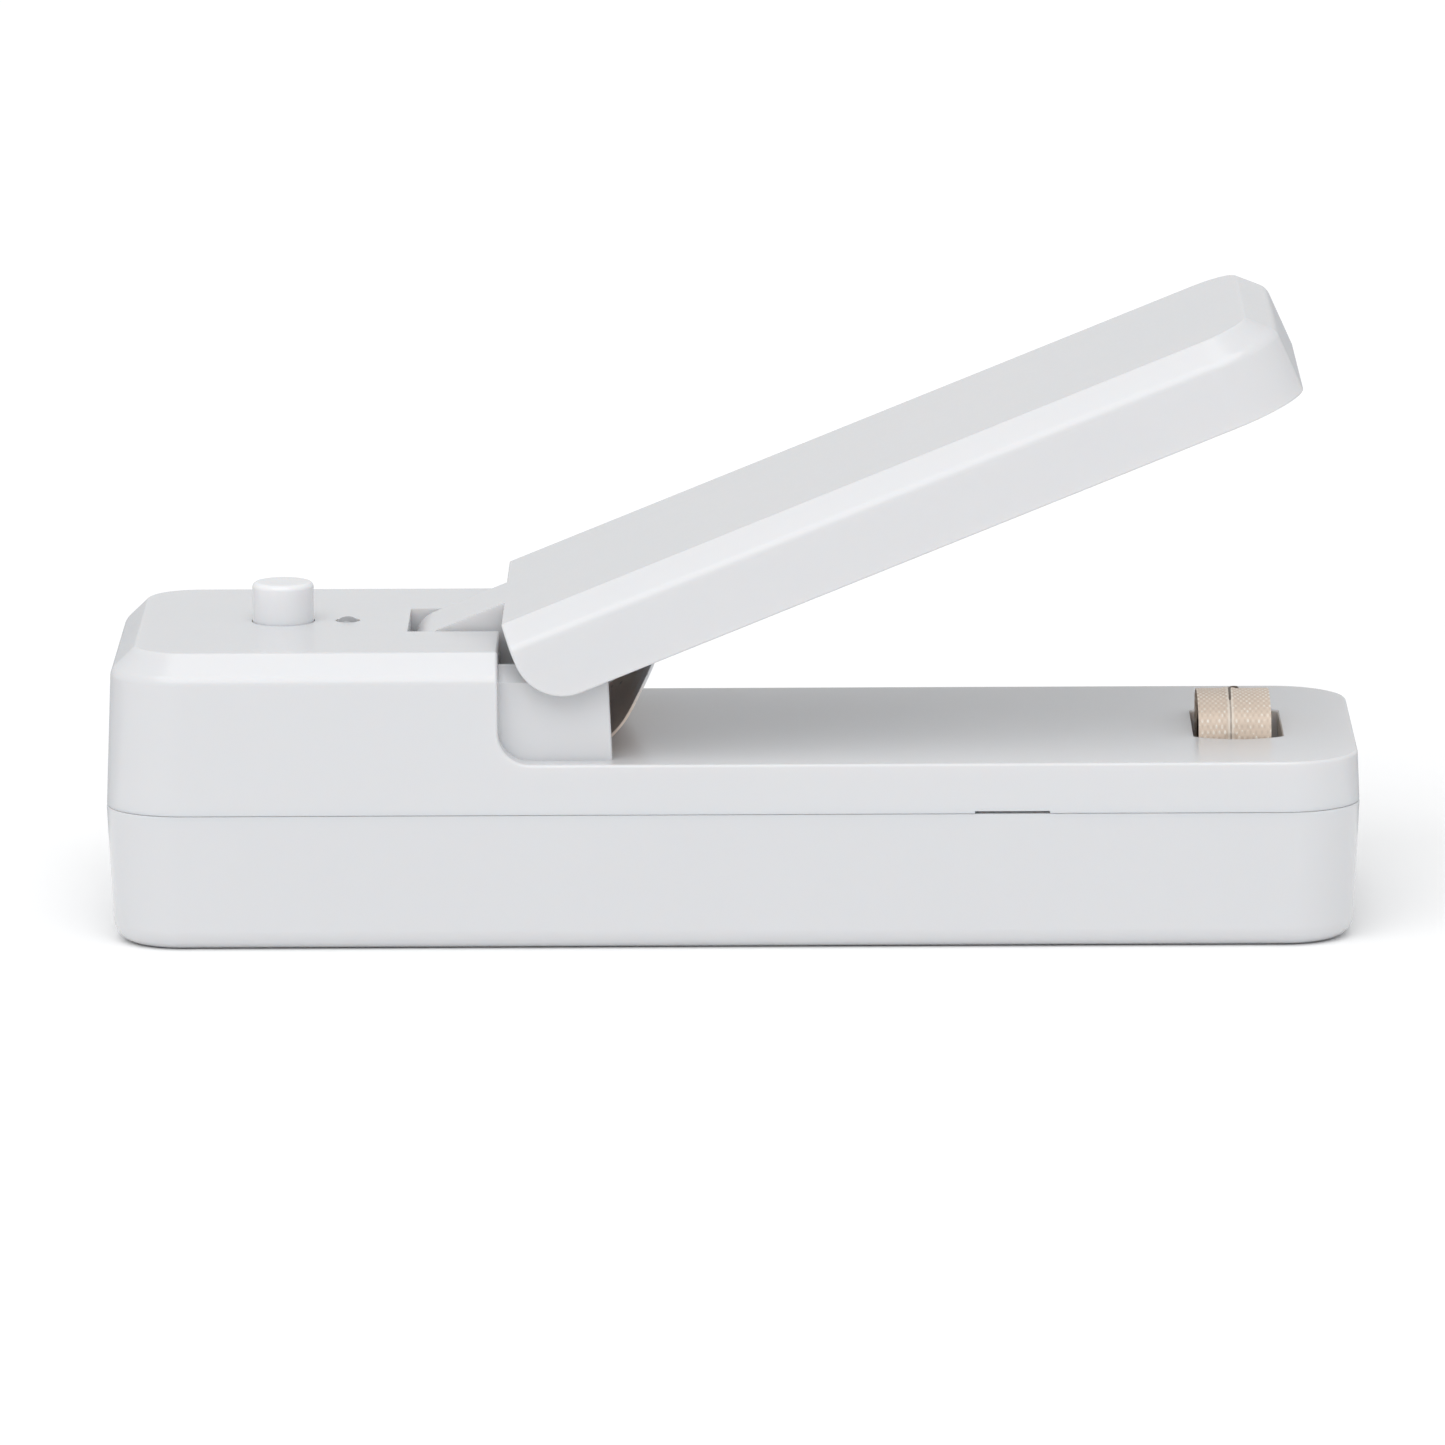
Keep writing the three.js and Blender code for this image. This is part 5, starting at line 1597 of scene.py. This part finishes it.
class SEALER_OT_inner_parts(bpy.types.Operator):
    """Give every CAD node that stays its finish"""

    bl_idname = "sealer.inner_parts"
    bl_label = "Inner Parts"

    def execute(self, context):
        for entry in frame["record"]["subparts"]:
            node = frame["nodes"][entry["node"]]
            node.data.materials.clear()
            node.data.materials.append(finish_of(entry["material_slot"]))
        return {"FINISHED"}


# ---- Stage -----------------------------------------------------------------------------


def soft_sun(stage):
    """An even, very soft light from one side."""
    data = bpy.data.lights.new("key", "SUN")
    data.angle = stage.key_spread
    data.energy = stage.key
    lamp = bpy.data.objects.new("key", data)
    bpy.context.scene.collection.objects.link(lamp)
    lamp.rotation_euler = (math.pi / 2 - stage.key_height, 0, stage.key_turn)


def floor_finish():
    """Plain pale floor."""
    paint = Finish("pale_floor", Roughness=0.9, IOR=1.3)
    cloud = paint.noise(3.0, 2.0)
    return paint.set(
        Base_Color=paint.blend(cloud, (0.93, 0.93, 0.93, 1), (0.95, 0.95, 0.95, 1)))


def card_finish():
    """Grey card lying behind the object, seen only in its glossy reflections."""
    paint = Finish("grey_card", Roughness=0.9)
    cloud = paint.noise(3.0, 2.0)
    return paint.set(
        Base_Color=paint.blend(cloud, (0.38, 0.39, 0.41, 1), (0.40, 0.41, 0.43, 1)))


class SEALER_OT_stage(bpy.types.Operator):
    """Set up the floor, the lights and the camera"""

    bl_idname = "sealer.stage"
    bl_label = "Stage"

    def execute(self, context):
        stage = group("stage")
        scene = context.scene
        clear_selection()
        bpy.ops.mesh.primitive_plane_add(size=12, location=(0, 0, 0))
        floor = context.object
        floor.name = "floor"
        floor.data.materials.append(floor_finish())

        bpy.ops.mesh.primitive_plane_add(size=4, location=(0, 2.04, 0.5 * MM))
        card = context.object
        card.name = "reflection_card"
        card.data.materials.append(card_finish())
        card.visible_camera = False
        card.visible_diffuse = False
        card.visible_shadow = False
        card.visible_transmission = False

        world = bpy.data.worlds.new("studio")
        scene.world = world
        world.use_nodes = True
        background = world.node_tree.nodes["Background"]
        background.inputs["Color"].default_value = (0.985, 0.992, 1.0, 1.0)
        background.inputs["Strength"].default_value = stage.sky
        soft_sun(stage)

        aim = Vector((stage.aim_x, 0, stage.aim_z))
        rise, turn = stage.elevation, stage.azimuth
        forward = Vector((math.sin(turn) * math.cos(rise), math.cos(turn) * math.cos(rise),
                          -math.sin(rise)))
        right = Vector((math.cos(turn), -math.sin(turn), 0))
        up = right.cross(forward)
        lean = stage.roll
        across = right * math.cos(lean) + up * math.sin(lean)
        over = up * math.cos(lean) - right * math.sin(lean)
        data = bpy.data.cameras.new("camera")
        data.sensor_width = 36.0
        data.lens = stage.lens
        data.clip_start = 0.01
        data.clip_end = 60.0
        camera = bpy.data.objects.new("camera", data)
        scene.collection.objects.link(camera)
        turned = Matrix((across, over, -forward)).transposed().to_4x4()
        camera.matrix_world = Matrix.Translation(aim - forward * stage.distance) @ turned
        scene.camera = camera
        scene.view_settings.view_transform = "Standard"
        return {"FINISHED"}


# ---- Panel, registration and main ------------------------------------------------------

PIECES = (
    SEALER_OT_stage,
    SEALER_OT_inner_parts,
    SEALER_OT_lower_case,
    SEALER_OT_upper_case,
    SEALER_OT_lever,
    SEALER_OT_press_pad,
    SEALER_OT_leaf_spring,
    SEALER_OT_hinge_pin,
    SEALER_OT_button,
    SEALER_OT_return_coil,
    SEALER_OT_light,
    SEALER_OT_heater,
)


class SEALER_PT_panel(bpy.types.Panel):
    """Lists the sealer's operators"""

    bl_idname = "SEALER_PT_panel"
    bl_label = "Bag Sealer"
    bl_space_type = "VIEW_3D"
    bl_region_type = "UI"
    bl_category = "Bag Sealer"

    def draw(self, context):
        for piece in PIECES:
            self.layout.operator(piece.bl_idname)


def register():
    """Registers the classes and the scene's property groups."""
    for name, kind in GROUPS.items():
        bpy.utils.register_class(kind)
        setattr(bpy.types.Scene, name, bpy.props.PointerProperty(type=kind))
    for kind in (*PIECES, SEALER_PT_panel):
        bpy.utils.register_class(kind)


def unregister():
    """Removes the classes and the scene's property groups."""
    for kind in reversed((*PIECES, SEALER_PT_panel)):
        bpy.utils.unregister_class(kind)
    for name, kind in GROUPS.items():
        delattr(bpy.types.Scene, name)
        bpy.utils.unregister_class(kind)


def main():
    register()
    for piece in PIECES:
        section, name = piece.bl_idname.split(".")
        getattr(getattr(bpy.ops, section), name)()
    clear_selection()


if __name__ == "__main__":
    main()
